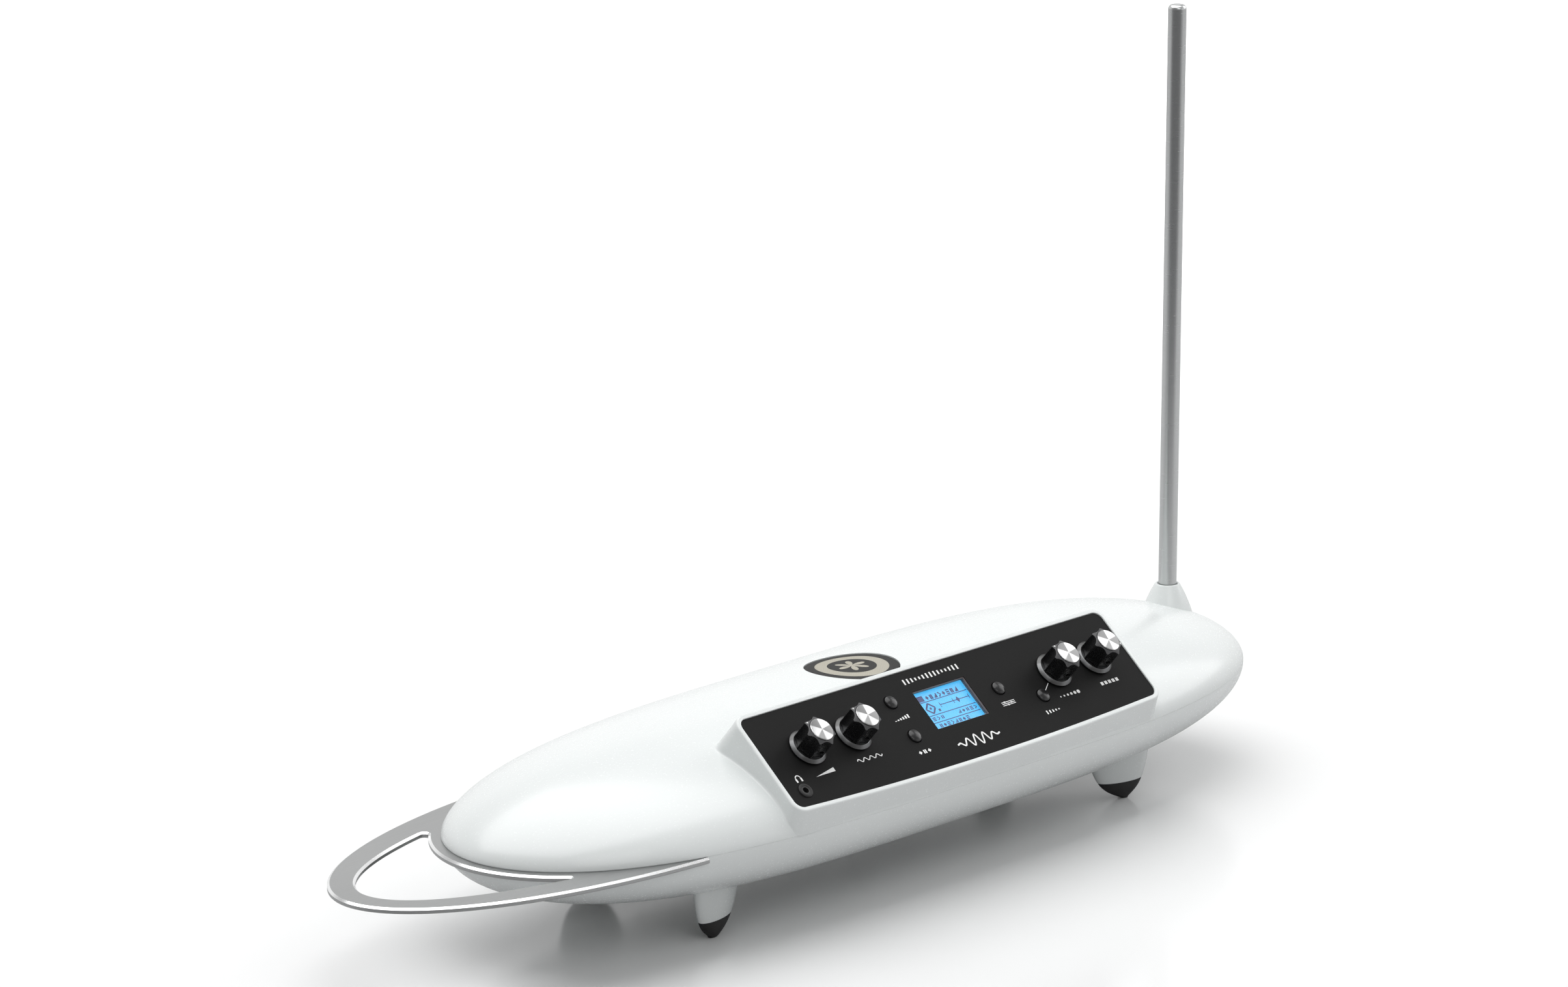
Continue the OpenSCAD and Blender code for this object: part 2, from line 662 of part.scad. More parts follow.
top_shell();
bottom_shell();
volume_antenna();
control_panel();
display_window();
display_module();
panel_board();
main_board();
volume_pot();
pitch_pot();
effect_pot();
preset_encoder();
headphone_socket();
speaker_frame();
speaker_surround();
speaker_cone();
speaker_grille();
rear_panel();
line_sockets();
pitch_out_socket();
usb_socket();
power_inlet();
power_switch_body();
power_rocker();
antenna_socket();
stand_insert();
leg_1();
leg_2();
leg_3();
leg_4();
foot_1();
foot_2();
foot_3();
foot_4();
case_screws();
panel_screws();
board_screws();
tact_switches();
volume_knob();
volume_knob_skirt();
volume_knob_cap();
volume_shaft();
pitch_knob();
pitch_knob_skirt();
pitch_knob_cap();
pitch_shaft();
effect_knob();
effect_knob_skirt();
effect_knob_cap();
effect_shaft();
preset_knob();
preset_knob_skirt();
preset_knob_cap();
preset_shaft();
scale_button();
root_button();
setup_button();
delay_button();
pitch_antenna();
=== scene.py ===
# %% [markdown]
# # A tabletop theremin in Blender
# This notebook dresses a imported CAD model. The CAD gives the places, the sizes and the moving
# bodies; the notebook adds the smooth shells, the rounded edges, the printed marks, the metals
# and plastics, and a studio to look at them in. Every length below is in millimetres in the
# pod's own frame, with the middle of the pod at the origin and the table at Z = 0, because
# those are the numbers a maker would think in. One helper turns them into Blender's metres.

# %% Load the frame
import json
import bpy
import numpy as np
from mathutils import Euler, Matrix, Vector

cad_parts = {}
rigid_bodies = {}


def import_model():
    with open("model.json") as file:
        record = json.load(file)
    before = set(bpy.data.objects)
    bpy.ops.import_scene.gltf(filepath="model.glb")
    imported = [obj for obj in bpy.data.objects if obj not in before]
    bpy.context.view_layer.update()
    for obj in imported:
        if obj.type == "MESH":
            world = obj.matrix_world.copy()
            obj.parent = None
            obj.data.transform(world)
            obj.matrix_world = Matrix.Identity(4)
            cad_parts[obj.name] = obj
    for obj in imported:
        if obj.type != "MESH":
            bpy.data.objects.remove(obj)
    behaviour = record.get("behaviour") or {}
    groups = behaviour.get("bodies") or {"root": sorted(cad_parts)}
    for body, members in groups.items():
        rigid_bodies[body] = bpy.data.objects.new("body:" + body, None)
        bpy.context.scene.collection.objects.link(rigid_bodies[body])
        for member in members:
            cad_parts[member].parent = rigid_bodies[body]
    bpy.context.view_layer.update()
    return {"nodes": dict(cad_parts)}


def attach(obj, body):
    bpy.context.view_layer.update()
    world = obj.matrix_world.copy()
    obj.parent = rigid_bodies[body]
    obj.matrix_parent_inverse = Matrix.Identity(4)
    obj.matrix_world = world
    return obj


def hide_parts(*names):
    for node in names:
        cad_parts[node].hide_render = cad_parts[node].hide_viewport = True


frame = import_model()
nodes = frame["nodes"]
POD = np.array([42.75, 1.75, 0.0])   # the pod's middle, seen from the middle of the whole box

# %% [markdown]
# ## Grids of points
# Nearly every piece here is a closed skin over a grid: a stack of rings, each with the same
# number of points. Neighbouring points make quads, and each end ring closes to its own middle.
# The signed volume tells which way the faces look, so a skin that came out inside out is turned.

# %% A closed skin over rings of points
def mesh_object(name, points, faces):
    """A mesh object from points in pod millimetres; its own origin stays at the world's."""
    mesh = bpy.data.meshes.new(name)
    mesh.from_pydata(((np.asarray(points) + POD) * 0.001).tolist(), [], faces)
    mesh.update()
    piece = bpy.data.objects.new(name, mesh)
    bpy.context.scene.collection.objects.link(piece)
    return piece

def solid(name, rings):
    """rings[i, j] is point j of ring i. Volume = sum of p0 . (p1 x p2) / 6 over the triangles;
    where it is negative, every face is reversed."""
    rings = np.asarray(rings, float)
    r, c, _ = rings.shape
    i, j = np.meshgrid(np.arange(r - 1), np.arange(c), indexing="ij")
    k = (j + 1) % c
    quads = np.stack([i * c + j, i * c + k, (i + 1) * c + k, (i + 1) * c + j], -1).reshape(-1, 4)
    ring = np.arange(c)
    after = (ring + 1) % c
    first = np.stack([after, ring, np.full(c, r * c)], -1)
    last = np.stack([(r - 1) * c + ring, (r - 1) * c + after, np.full(c, r * c + 1)], -1)
    points = np.vstack([rings.reshape(-1, 3), rings[0].mean(0), rings[-1].mean(0)])
    tris = np.vstack([quads[:, [0, 1, 2]], quads[:, [0, 2, 3]], first, last])
    p = points[tris] - points.mean(0)
    if np.einsum("ij,ij->", p[:, 0], np.cross(p[:, 1], p[:, 2])) < 0:
        quads, first, last = quads[:, ::-1], first[:, ::-1], last[:, ::-1]
    return mesh_object(name, points, quads.tolist() + first.tolist() + last.tolist())

def turn(name, profile, place, count=96):
    """A turned piece: point (r, h) of the profile goes to (r cos t, r sin t, h), and place
    carries it to where the piece sits."""
    profile = np.asarray(profile, float)
    t = np.linspace(0, 2 * np.pi, count, endpoint=False)
    r, h = profile[:, :1], profile[:, 1:]
    flat = np.stack([r * np.cos(t), r * np.sin(t), h + 0 * t], -1)
    return solid(name, place(flat))

def at(x, y, z=0.0):
    """A place that shifts points by (x, y, z)."""
    return lambda p: p + np.array([x, y, z])

# %% [markdown]
# ## Joining and cutting
# A moulded shell is one body with a raised block, a flared foot for the rod and pockets cut
# into it. Blender's Boolean does this with closed skins. The MANIFOLD solver is fast and keeps
# the result closed, so each tool can be applied at once and thrown away.

# %% Booleans, applied at once
def combine(piece, how, *tools):
    """how is UNION, DIFFERENCE or INTERSECT; the tools are used up."""
    for tool in tools:
        step = piece.modifiers.new("step", "BOOLEAN")
        step.operation, step.object, step.solver = how, tool, "MANIFOLD"
        graph = bpy.context.evaluated_depsgraph_get()
        result = bpy.data.meshes.new_from_object(piece.evaluated_get(graph))
        piece.modifiers.remove(step)
        before, piece.data = piece.data, result
        bpy.data.meshes.remove(before)
        bpy.data.objects.remove(tool)
    return piece

def box(name, low, high, place=at(0, 0)):
    """A plain block between two corners, used only to cut or to join."""
    (x0, y0, z0), (x1, y1, z1) = low, high
    rings = [[(x0, y0, z), (x1, y0, z), (x1, y1, z), (x0, y1, z)] for z in (z0, z1)]
    return solid(name, place(np.array(rings, float)))

# %% [markdown]
# ## Smooth shading with a true surface behind it
# A Boolean leaves long, odd faces next to its cuts, and averaged normals smear there. The pod is
# known exactly, though: it is where G(x, y, z) = 1. So each corner that lies on the pod takes
# the direction of G's gradient as its normal, and only the other corners are smoothed by angle.

# %% Normals
NEAR_SURFACE, LOOKS_ALONG = 0.15, 0.93

def read(things, what, width=1):
    """One property of every vertex, corner or face: rows of numbers, or whole numbers for width 1."""
    values = np.empty(len(things) * width, "f" if width > 1 else "i")
    things.foreach_get(what, values)
    return values.reshape(-1, width) if width > 1 else values

def in_pod(points):
    """Blender's metres back to the pod's millimetres."""
    return points * 1000.0 - POD

def smooth(piece, angle=35.0, fields=()):
    """Corners within 0.15 mm of a field's surface, on faces that look its way, get its gradient."""
    mesh = piece.data
    mesh.shade_smooth()
    mesh.set_sharp_from_angle(angle=np.radians(angle))
    if not fields:
        return piece
    normal = read(mesh.corner_normals, "vector", 3)
    corner = in_pod(read(mesh.vertices, "co", 3))[read(mesh.loops, "vertex_index")]
    facing = np.repeat(read(mesh.polygons, "normal", 3), read(mesh.polygons, "loop_total"), axis=0)
    for field in fields:
        distance, gradient = field(corner)
        on = (np.abs(distance) < NEAR_SURFACE) & ((gradient * facing).sum(-1) > LOOKS_ALONG)
        normal[on] = gradient[on]
    mesh.normals_split_custom_set(normal.tolist())
    return piece

# %% [markdown]
# ## The pod
# Seen from above the pod is a superellipse, a little squarer at its ends than an ellipse. Above
# the parting plane its height falls off as a power of what is left to the edge, and below it the
# belly does the same with a slightly blunter power. Both halves are grids of the outline, shrunk
# towards the middle, with the rings crowded near the edge, where the surface is steepest.

# %% Sizes of the pod
HALF_LONG, HALF_DEEP, PARTING = 289.0, 95.0, 60.0
DOME_H, BELLY_H, WALL = 41.0, 43.6, 3.0
NOSE_EXP, DOME_POW, BELLY_POW = 3.53, 0.562, 0.478
DOME, BELLY = (DOME_H, DOME_POW, 1), (BELLY_H, BELLY_POW, -1)   # height, power, up or down

def pod_outline(count, grow=0.0):
    """|x/a|^3.53 + (y/b)^2 = 1, walked in equal steps of length."""
    t = np.linspace(0, 2 * np.pi, 60001)
    x = (HALF_LONG + grow) * np.sign(np.cos(t)) * np.abs(np.cos(t)) ** (2 / NOSE_EXP)
    y = (HALF_DEEP + grow) * np.sin(t)
    along = np.concatenate([[0], np.cumsum(np.hypot(np.diff(x), np.diff(y)))])
    want = np.linspace(0, along[-1], count, endpoint=False)
    return np.stack([np.interp(want, along, x), np.interp(want, along, y)], -1)

def left_over(x, y, grow=0.0):
    """1 - u, where u is 0 at the pod's middle and 1 at its edge."""
    u = np.abs(x / (HALF_LONG + grow)) ** NOSE_EXP + (y / (HALF_DEEP + grow)) ** 2
    return np.clip(1 - u, 0, 1)

def half_pod(name, height, power, up, grow=0.0, overlap=0.0, edge=0.3, count=480, steps=56):
    """Ring k is the outline times s = cos(90 deg * (k/steps)^1.35), at PARTING + up * height *
    (1 - u)^power. The first ring lies on the parting plane, drawn in a little for the seam."""
    outline = pod_outline(count, grow)
    s = np.cos(np.pi / 2 * (np.linspace(1.9, steps - 0.5, steps) / steps) ** 1.35)
    xy = s[:, None, None] * outline
    z = PARTING + up * height * left_over(xy[..., 0], xy[..., 1], grow) ** power
    rings = np.concatenate([xy, z[..., None]], -1)
    start = pod_outline(count, grow - edge)
    depths = (overlap, 0.0) if overlap else (0.0,)
    base = np.array([np.column_stack([start, np.full(count, PARTING - up * d)]) for d in depths])
    return solid(name, np.concatenate([base, rings]))

def pod_field(height, power, up):
    """G = |x/a|^3.53 + (y/b)^2 + (h/height)^(1/power), which is 1 on the surface."""
    def field(p):
        x, y = p[:, 0] / HALF_LONG, p[:, 1] / HALF_DEEP
        h = np.clip(up * (p[:, 2] - PARTING) / height, 0, None)
        value = np.abs(x) ** NOSE_EXP + y ** 2 + h ** (1 / power)
        along_x = NOSE_EXP * np.sign(x) * np.abs(x) ** (NOSE_EXP - 1) / HALF_LONG
        along_z = up * (1 / power) * h ** (1 / power - 1) / height
        gradient = np.stack([along_x, 2 * y / HALF_DEEP, along_z], -1)
        size = np.linalg.norm(gradient, axis=1, keepdims=True) + 1e-12
        return (value - 1) / size[:, 0], gradient / size
    return field

dome = half_pod("top_shell_skin", *DOME)
print("upper half:", len(dome.data.polygons), "faces")

# %% [markdown]
# ## The panel's frame
# The black panel lies on a plane tilted 40.3 degrees. Points on it are given as (u, v, n): u to
# the right, v up the slope and n straight out of it.

# %% Panel coordinates
TILT = np.radians(40.3)
PANEL_O = np.array([-4.0, -71.0, 94.5])
PANEL_U = np.array([1.0, 0.0, 0.0])
PANEL_V = np.array([0.0, np.cos(TILT), np.sin(TILT)])
PANEL_N = np.array([0.0, -np.sin(TILT), np.cos(TILT)])
PANEL_W, PANEL_H, PANEL_T = 141.5, 28.8, 1.6    # half its width, half its height, its thickness
PANEL_BOW, CORNER_R = 3.7, 5.0
RIM, RIM_PROUD = 2.9, 0.6

def on_panel(u=0.0, v=0.0, n=0.0):
    """A place on the panel: (a, b, c) goes to O + (u+a) U + (v+b) V + (n+c) N."""
    axes = np.stack([PANEL_U, PANEL_V, PANEL_N])
    return lambda p: PANEL_O + (np.asarray(p, float) + np.array([u, v, n])) @ axes

def panel_edge(bow=200, corner=24, side=56, top=160):
    """The outline, anticlockwise from its lower left, and its outward direction: a shallow bow,
    two corners whose arcs touch both the bow and a side, two sides, two corners and a top."""
    big = (PANEL_W ** 2 + PANEL_BOW ** 2) / (2 * PANEL_BOW)
    cx, cy = PANEL_W - CORNER_R, PANEL_H - CORNER_R
    bow_y = big - PANEL_H - PANEL_BOW
    low_y = bow_y - np.sqrt((big - CORNER_R) ** 2 - cx ** 2)
    phi = np.arcsin(cx / (big - CORNER_R))
    def arc(x, y, r, a, b, count):
        t = np.linspace(a, b, count, endpoint=False)
        way = np.stack([np.cos(t), np.sin(t)], -1)
        return np.array([x, y]) + r * way, way
    def line(p, q, way, count):
        t = np.linspace(0, 1, count, endpoint=False)[:, None]
        return (1 - t) * np.array(p) + t * np.array(q), np.tile(way, (count, 1))
    down, right = -np.pi / 2, 0.0
    parts = [arc(0, bow_y, big, down - phi, down + phi, bow),
             arc(cx, low_y, CORNER_R, down + phi, right, corner),
             line((PANEL_W, low_y), (PANEL_W, cy), (1.0, 0.0), side),
             arc(cx, cy, CORNER_R, 0, np.pi / 2, corner),
             line((cx, PANEL_H), (-cx, PANEL_H), (0.0, 1.0), top),
             arc(-cx, cy, CORNER_R, np.pi / 2, np.pi, corner),
             line((-PANEL_W, cy), (-PANEL_W, low_y), (-1.0, 0.0), side),
             arc(-cx, low_y, CORNER_R, np.pi, 3 * np.pi / 2 - phi, corner)]
    return np.concatenate([p for p, _ in parts]), np.concatenate([w for _, w in parts])

EDGE, OUTWARD = panel_edge()
OUT3 = OUTWARD @ np.stack([PANEL_U, PANEL_V])
print("panel outline:", len(EDGE), "points")

def rim_ring(grow, n):
    """The outline grown by grow along its outward direction, at height n over the panel."""
    flat = EDGE + grow * OUTWARD
    return on_panel()(np.column_stack([flat, np.full(len(flat), n)]))

# %% [markdown]
# ## The raised block
# The block round the panel is one profile carried along the panel's outline: up out of the
# recess, over a rounded rim, down a wall, and out again in a small fillet where the wall meets
# the pod. At the back the wall drops square to the panel; in front it stands nearly upright;
# along the sides the direction turns from one to the other inside the side's own plane, so the
# side stays flat. Where each line of the wall meets the pod is found by halving an interval.

# %% The block's wall
def ease(x):
    """3x^2 - 2x^3 between 0 and 1."""
    x = np.clip(x, 0, 1)
    return x * x * (3 - 2 * x)

FRONT_LEAN = np.radians(15.0)
FRONT_DOWN = np.array([0.0, np.sin(FRONT_LEAN), -np.cos(FRONT_LEAN)])
TURN_FROM, TURN_OVER = 20.0, 44.0
front_share = ease((TURN_FROM - EDGE[:, 1]) / TURN_OVER)[:, None]
wall_way = front_share * FRONT_DOWN + (1 - front_share) * -PANEL_N
wall_way /= np.linalg.norm(wall_way, axis=1, keepdims=True)

def dome_z(x, y):
    """Height of the upper half of the pod, and the parting plane outside it."""
    return PARTING + DOME_H * left_over(x, y) ** DOME_POW

def dome_way(x, y):
    """Upward normal of the dome."""
    _, way = pod_field(*DOME)(np.stack([x, y, dome_z(x, y)], -1))
    return way

def bezier(a, b, c, steps):
    """(1-t)^2 A + 2t(1-t) B + t^2 C for whole rings of points A, B and C."""
    t = np.linspace(0, 1, steps)[:, None, None]
    return (1 - t) ** 2 * a + 2 * t * (1 - t) * b + t ** 2 * c

def wall_foot(top):
    """Halve s in top + s * wall_way until the point is on the dome or on the parting plane."""
    low, high = np.zeros(len(top)), np.full(len(top), 90.0)
    for _ in range(48):
        mid = (low + high) / 2
        p = top + mid[:, None] * wall_way
        outside = p[:, 2] > dome_z(p[:, 0], p[:, 1])
        low, high = np.where(outside, mid, low), np.where(outside, high, mid)
    return top + low[:, None] * wall_way

def block_rings(grow=RIM, fillet=2.0, edge_r=1.3):
    """Rings of the whole block, from the floor of the recess round to inside the pod."""
    line = rim_ring(grow, 0.0)
    rise = RIM_PROUD / -(wall_way @ PANEL_N)
    crest = line - rise[:, None] * wall_way
    turn_angle = np.arccos(np.clip((OUT3 * wall_way).sum(1), -1, 1))
    reach = (edge_r * np.tan(turn_angle / 2))[:, None]
    rim = bezier(crest - reach * OUT3, crest, crest + reach * wall_way, 10)
    lip = bezier(rim_ring(0.2, RIM_PROUD - 0.4), rim_ring(0.2, RIM_PROUD), rim_ring(0.6, RIM_PROUD), 5)
    foot = wall_foot(line)
    on_dome = ease((foot[:, 2] - PARTING - 3) / 8)[:, None]
    size = 0.4 + (fillet - 0.4) * on_dome
    begin = foot - size * wall_way
    up = dome_way(foot[:, 0], foot[:, 1])
    away = OUT3 - (OUT3 * up).sum(1, keepdims=True) * up
    away /= np.linalg.norm(away, axis=1, keepdims=True)
    landing = foot + size * away * on_dome
    dome_here = dome_z(landing[:, 0], landing[:, 1]) - 0.05 * on_dome[:, 0]
    landing[:, 2] = np.where(on_dome[:, 0] > 0, dome_here, foot[:, 2])
    curve = bezier(begin, foot, landing, 9)
    start, share = rim[-1], np.linspace(0, 1, 14)[1:-1, None, None]
    wall = (1 - share) * start + share * begin
    inside = foot - 3.5 * OUT3 + 2.0 * wall_way * on_dome
    inside[:, 2] = np.maximum(inside[:, 2], PARTING + 0.3)
    return np.concatenate([[rim_ring(0.2, -PANEL_T)], lip, rim, wall, curve, [inside]]), foot

rings, block_foot = block_rings()
block = solid("block", rings)
foot_low, foot_high = block_foot[:, 2].min().round(1), block_foot[:, 2].max().round(1)
print("block:", len(block.data.polygons), "faces, foot Z", foot_low, "to", foot_high)

# %% [markdown]
# ## The rod's flared foot
# The moulding swells out of the shell in a trumpet shape that carries the pitch antenna. A few
# measured radii are enough, with a smooth curve laid through them.

# %% Smooth profiles
def through(points, count):
    """A Catmull-Rom curve: between p1 and p2 it is 0.5 (2 p1 + (p2-p0) t + (2p0-5p1+4p2-p3) t^2
    + (3p1-p0-3p2+p3) t^3), with the end points repeated."""
    p = np.asarray(points, float)
    p = np.vstack([2 * p[0] - p[1], p, 2 * p[-1] - p[-2]])
    where = np.linspace(0, len(points) - 1 - 1e-9, count)
    k = where.astype(int)
    t = (where - k)[:, None]
    p0, p1, p2, p3 = p[k], p[k + 1], p[k + 2], p[k + 3]
    return 0.5 * (2 * p1 + (p2 - p0) * t + (2 * p0 - 5 * p1 + 4 * p2 - p3) * t ** 2
                  + (3 * p1 - p0 - 3 * p2 + p3) * t ** 3)

ROD_X, ROD_R, BOSS_TOP = 255.0, 5.2, 96.0
flare = through([(17, -28), (16.5, -24), (14.5, -17), (12.2, -10.8), (9.8, -5.4), (7.9, -1.8), (7.2, -0.5)], 40)
lip = np.array([(7.05, -0.25), (6.8, -0.08), (6.4, 0.0)])
boss = turn("boss", np.vstack([flare, lip]), at(ROD_X, 0, BOSS_TOP))
print("boss:", len(boss.data.polygons), "faces")

# %% [markdown]
# ## The upper shell
# The outside is the dome, the block and the boss joined; the inside is the same with the wall
# taken off. Then come the walls of the rear pocket, the seat of the loudspeaker and the posts,
# each kept inside the dome, and last the openings.

# %% Join and hollow the upper shell
SPEAKER_Y, GRILLE_R, GRILLE_Z = 7.0, 26.3, 97.2
SCREW_AT = [(-243, -30), (-243, 30), (243, -30), (243, 30), (-115, 54), (115, 54)]
POCKET_W, POCKET_Y, POCKET_LOW, POCKET_HIGH = 160.0, 72.0, 62.5, 82.5

LOW_Z = PARTING - 1.0

def post(x, y, low, high, r, count=64):
    """A round post, or the hole of one, between two heights."""
    return turn("post", [(r, low), (r, high)], at(x, y), count)

def hollow_of(height, power, up):
    """The space inside a half pod's wall, reaching 1 mm past the parting plane."""
    return half_pod("hollow", height - WALL, power, up, -WALL, overlap=1.0, edge=0.0, count=240, steps=32)

def limit_of(height, power, up):
    """The half pod drawn in by 0.4 mm. What is kept inside it stays under the skin."""
    return half_pod("limit", height, power, up, grow=-0.4, count=240, steps=32)

shell = combine(dome, "UNION", block, boss)
under = rim_ring(RIM - WALL, -PANEL_T - 2)
drop = (under[:, 2] - LOW_Z) / -wall_way[:, 2]
block_hollow = [under, under + drop[:, None] * wall_way]
combine(shell, "DIFFERENCE", hollow_of(*DOME), solid("block_hollow", block_hollow))

pocket_wall = box("pocket_wall", (-POCKET_W / 2 - 2.5, POCKET_Y - 2.5, PARTING),
                  (POCKET_W / 2 + 2.5, 110, POCKET_HIGH + 2.5))
extras = combine(pocket_wall, "UNION", post(0, SPEAKER_Y, 94, 106, GRILLE_R + 5), post(ROD_X, 0, 68, 93, 11),
                 *[post(x, y, PARTING, 90, 4.5, 32) for x, y in SCREW_AT])
combine(extras, "INTERSECT", limit_of(*DOME))
combine(shell, "UNION", extras)

# %% Cut its openings
LEDGE_R = GRILLE_R - 1.2
recess = solid("recess", [rim_ring(-3, -12), rim_ring(-3, 2)])
speaker_steps = [(GRILLE_R, 93), (GRILLE_R, 95.6), (LEDGE_R, 95.6), (LEDGE_R, GRILLE_Z),
                 (GRILLE_R, GRILLE_Z), (GRILLE_R, 100.0), (GRILLE_R + 0.6, 115)]
rod_steps = [(8.0, 67), (8.0, 91), (ROD_R + 0.45, 91), (ROD_R + 0.45, 95.4), (ROD_R + 1.0, 96.2),
             (ROD_R + 1.2, 107)]
speaker_hole = turn("speaker_hole", speaker_steps, at(0, SPEAKER_Y))
rod_hole = turn("rod_hole", rod_steps, at(ROD_X, 0))
pocket = box("pocket", (-POCKET_W / 2, POCKET_Y, POCKET_LOW), (POCKET_W / 2, 120, POCKET_HIGH))
back_hole = box("back_hole", (-POCKET_W / 2 + 2, POCKET_Y - 4, POCKET_LOW + 1.5),
                (POCKET_W / 2 - 2, POCKET_Y + 1, POCKET_HIGH - 1.5))
combine(shell, "DIFFERENCE", recess, speaker_hole, rod_hole, pocket, back_hole,
        *[post(x, y, 58, 72, 1.55, 24) for x, y in SCREW_AT])
top_shell = smooth(shell, 38, [pod_field(*DOME)])
print("upper shell:", len(top_shell.data.polygons), "faces")

# %% [markdown]
# ## The lower shell
# The belly is hollowed the same way. The volume antenna's sheet is let into its left end, wells
# for the case screws come up from below, and a round pocket takes the stand's threaded insert.

# %% Shape the lower shell
PLATE_T, PLATE_CUT, FLANGE_IN = 3.0, 200.0, 14.0
INSERT_Z, INSERT_H, INSERT_R = 17.2, 13.8, 10.9
BOARD_AT = [(x, y) for x in (-95, 95) for y in (-30, 40)]

def level_ring(line, z):
    """A flat line of points at one height."""
    return np.column_stack([line, np.full(len(line), z)])

lower = half_pod("bottom_shell_skin", *BELLY)
combine(lower, "DIFFERENCE", hollow_of(*BELLY))
posts = combine(post(0, 0, 10, 34, 14), "UNION", *[post(x, y, 10, PARTING, 6.5, 40) for x, y in SCREW_AT],
                *[post(x, y, 10, 44, 4, 32) for x, y in BOARD_AT])
combine(posts, "INTERSECT", limit_of(*BELLY))
combine(lower, "UNION", posts)

sheet_cut = solid("sheet_cut", [level_ring(pod_outline(360, 1.0), z) for z in (PARTING - PLATE_T, 66)])
keep = pod_outline(360, -FLANGE_IN - 0.2)
combine(sheet_cut, "DIFFERENCE", solid("keep", [level_ring(keep, z) for z in (50, 70)]),
        box("right", (-PLATE_CUT, -120, 50), (400, 120, 70)))
wells = [post(x, y, 0, high, r, 40) for x, y in SCREW_AT for high, r in ((61, 1.7), (46, 3.6))]
insert_pocket = post(0, 0, 0, INSERT_Z + INSERT_H, INSERT_R + 0.1)
combine(lower, "DIFFERENCE", sheet_cut, insert_pocket, post(0, 0, 30, 40, 8.03), *wells,
        *[post(x, y, 24, 45, 1.2, 24) for x, y in BOARD_AT])
bottom_shell = smooth(lower, 38, [pod_field(*BELLY)])
print("lower shell:", len(bottom_shell.data.polygons), "faces")

# %% [markdown]
# ## The volume antenna
# A flat aluminium sheet loops round the pod's left nose. Its outer edge is half an ellipse, and
# the crescent cut out of it lies between a smaller ellipse and the pod's outline. Both edges are
# chamfered on top, which is what catches the light. The crescent's two ends are rounded by the
# circle that touches both of its sides.

# %% The sheet and its crescent
PLATE_REACH, PLATE_A, PLATE_B = 374.5, 204.5, 83.3
SLOT_A, SLOT_B, NOSE_BAND, END_R = PLATE_A - 14.5, 64.2, 6.3, {1: 2.3, -1: 1.2}
PLATE_X = PLATE_A - PLATE_REACH

def ellipse(a, b, angles):
    """Points of an ellipse round PLATE_X and their outward directions."""
    p = np.stack([PLATE_X + a * np.cos(angles), b * np.sin(angles)], -1)
    way = np.stack([np.cos(angles) / a, np.sin(angles) / b], -1)
    return p, way / np.linalg.norm(way, axis=1, keepdims=True)

def crescent_end(side, r):
    """Walk along the ellipse until the circle of radius r inside it also touches the pod's grown
    outline. Returns its centre, the ellipse's angle there, the two directions in which it touches,
    and the point where it meets the outline."""
    outline = pod_outline(4000, NOSE_BAND)
    low, high = np.pi, np.pi - side * 1.1
    for _ in range(40):
        mid = (low + high) / 2
        p, way = ellipse(SLOT_A, SLOT_B, np.array([mid]))
        centre = p[0] - r * way[0]
        gap = outline - centre
        near = np.hypot(*gap.T).argmin()
        inside = left_over(centre[0], centre[1], NOSE_BAND) > 0
        if inside or np.hypot(*gap[near]) < r:
            high = mid
        else:
            low = mid
    return centre, mid, np.arctan2(*way[0][::-1]), np.arctan2(gap[near][1], gap[near][0]), outline[near]

def crescent(count=140):
    """The closed edge of the crescent, anticlockwise, and its outward directions."""
    ends = {side: crescent_end(side, r) for side, r in END_R.items()}
    outer, outer_way = ellipse(SLOT_A, SLOT_B, np.linspace(ends[1][1], ends[-1][1] % (2 * np.pi), count))
    def cap(side):
        centre, _, a, b, _ = ends[side]
        r = END_R[side]
        first, last = (a, b) if side == -1 else (b, a)
        last = first + (last - first) % (2 * np.pi)
        t = np.linspace(first, last, 18)[1:-1]
        way = np.stack([np.cos(t), np.sin(t)], -1)
        return centre + r * way, way
    pod = pod_outline(4000, NOSE_BAND)
    pod = pod[pod[:, 0] < -200]
    pod = pod[np.argsort(pod[:, 1])]
    y = np.linspace(ends[-1][4][1], ends[1][4][1], count)
    inner = np.stack([np.interp(y, pod[:, 1], pod[:, 0]), y], -1)
    way = np.gradient(inner, axis=0)
    way = np.stack([way[:, 1], -way[:, 0]], -1)
    way /= np.linalg.norm(way, axis=1, keepdims=True)
    lower_cap, upper_cap = cap(-1), cap(1)
    return (np.concatenate([outer, lower_cap[0], inner, upper_cap[0]]),
            np.concatenate([outer_way, lower_cap[1], way, upper_cap[1]]))

slot_edge, slot_way = crescent()
cut_angle = np.arccos((-PLATE_CUT - PLATE_X) / PLATE_A)
plate_edge, plate_way = ellipse(PLATE_A, PLATE_B, np.linspace(cut_angle, 2 * np.pi - cut_angle, 360))
TOP = PARTING - 0.02
plate_steps = [(-0.3, 57), (0, 57.3), (0, TOP - 1.05), (-1.3, TOP)]
slot_steps = [(1.0, 55.5), (0.3, 57), (0, 57.3), (0, TOP - 1.05), (1.3, TOP), (2.6, TOP + 1.05)]

def grown_rings(line, way, steps):
    """The line moved by g along way, at height z, for each step (g, z)."""
    return [level_ring(line + g * way, z) for g, z in steps]

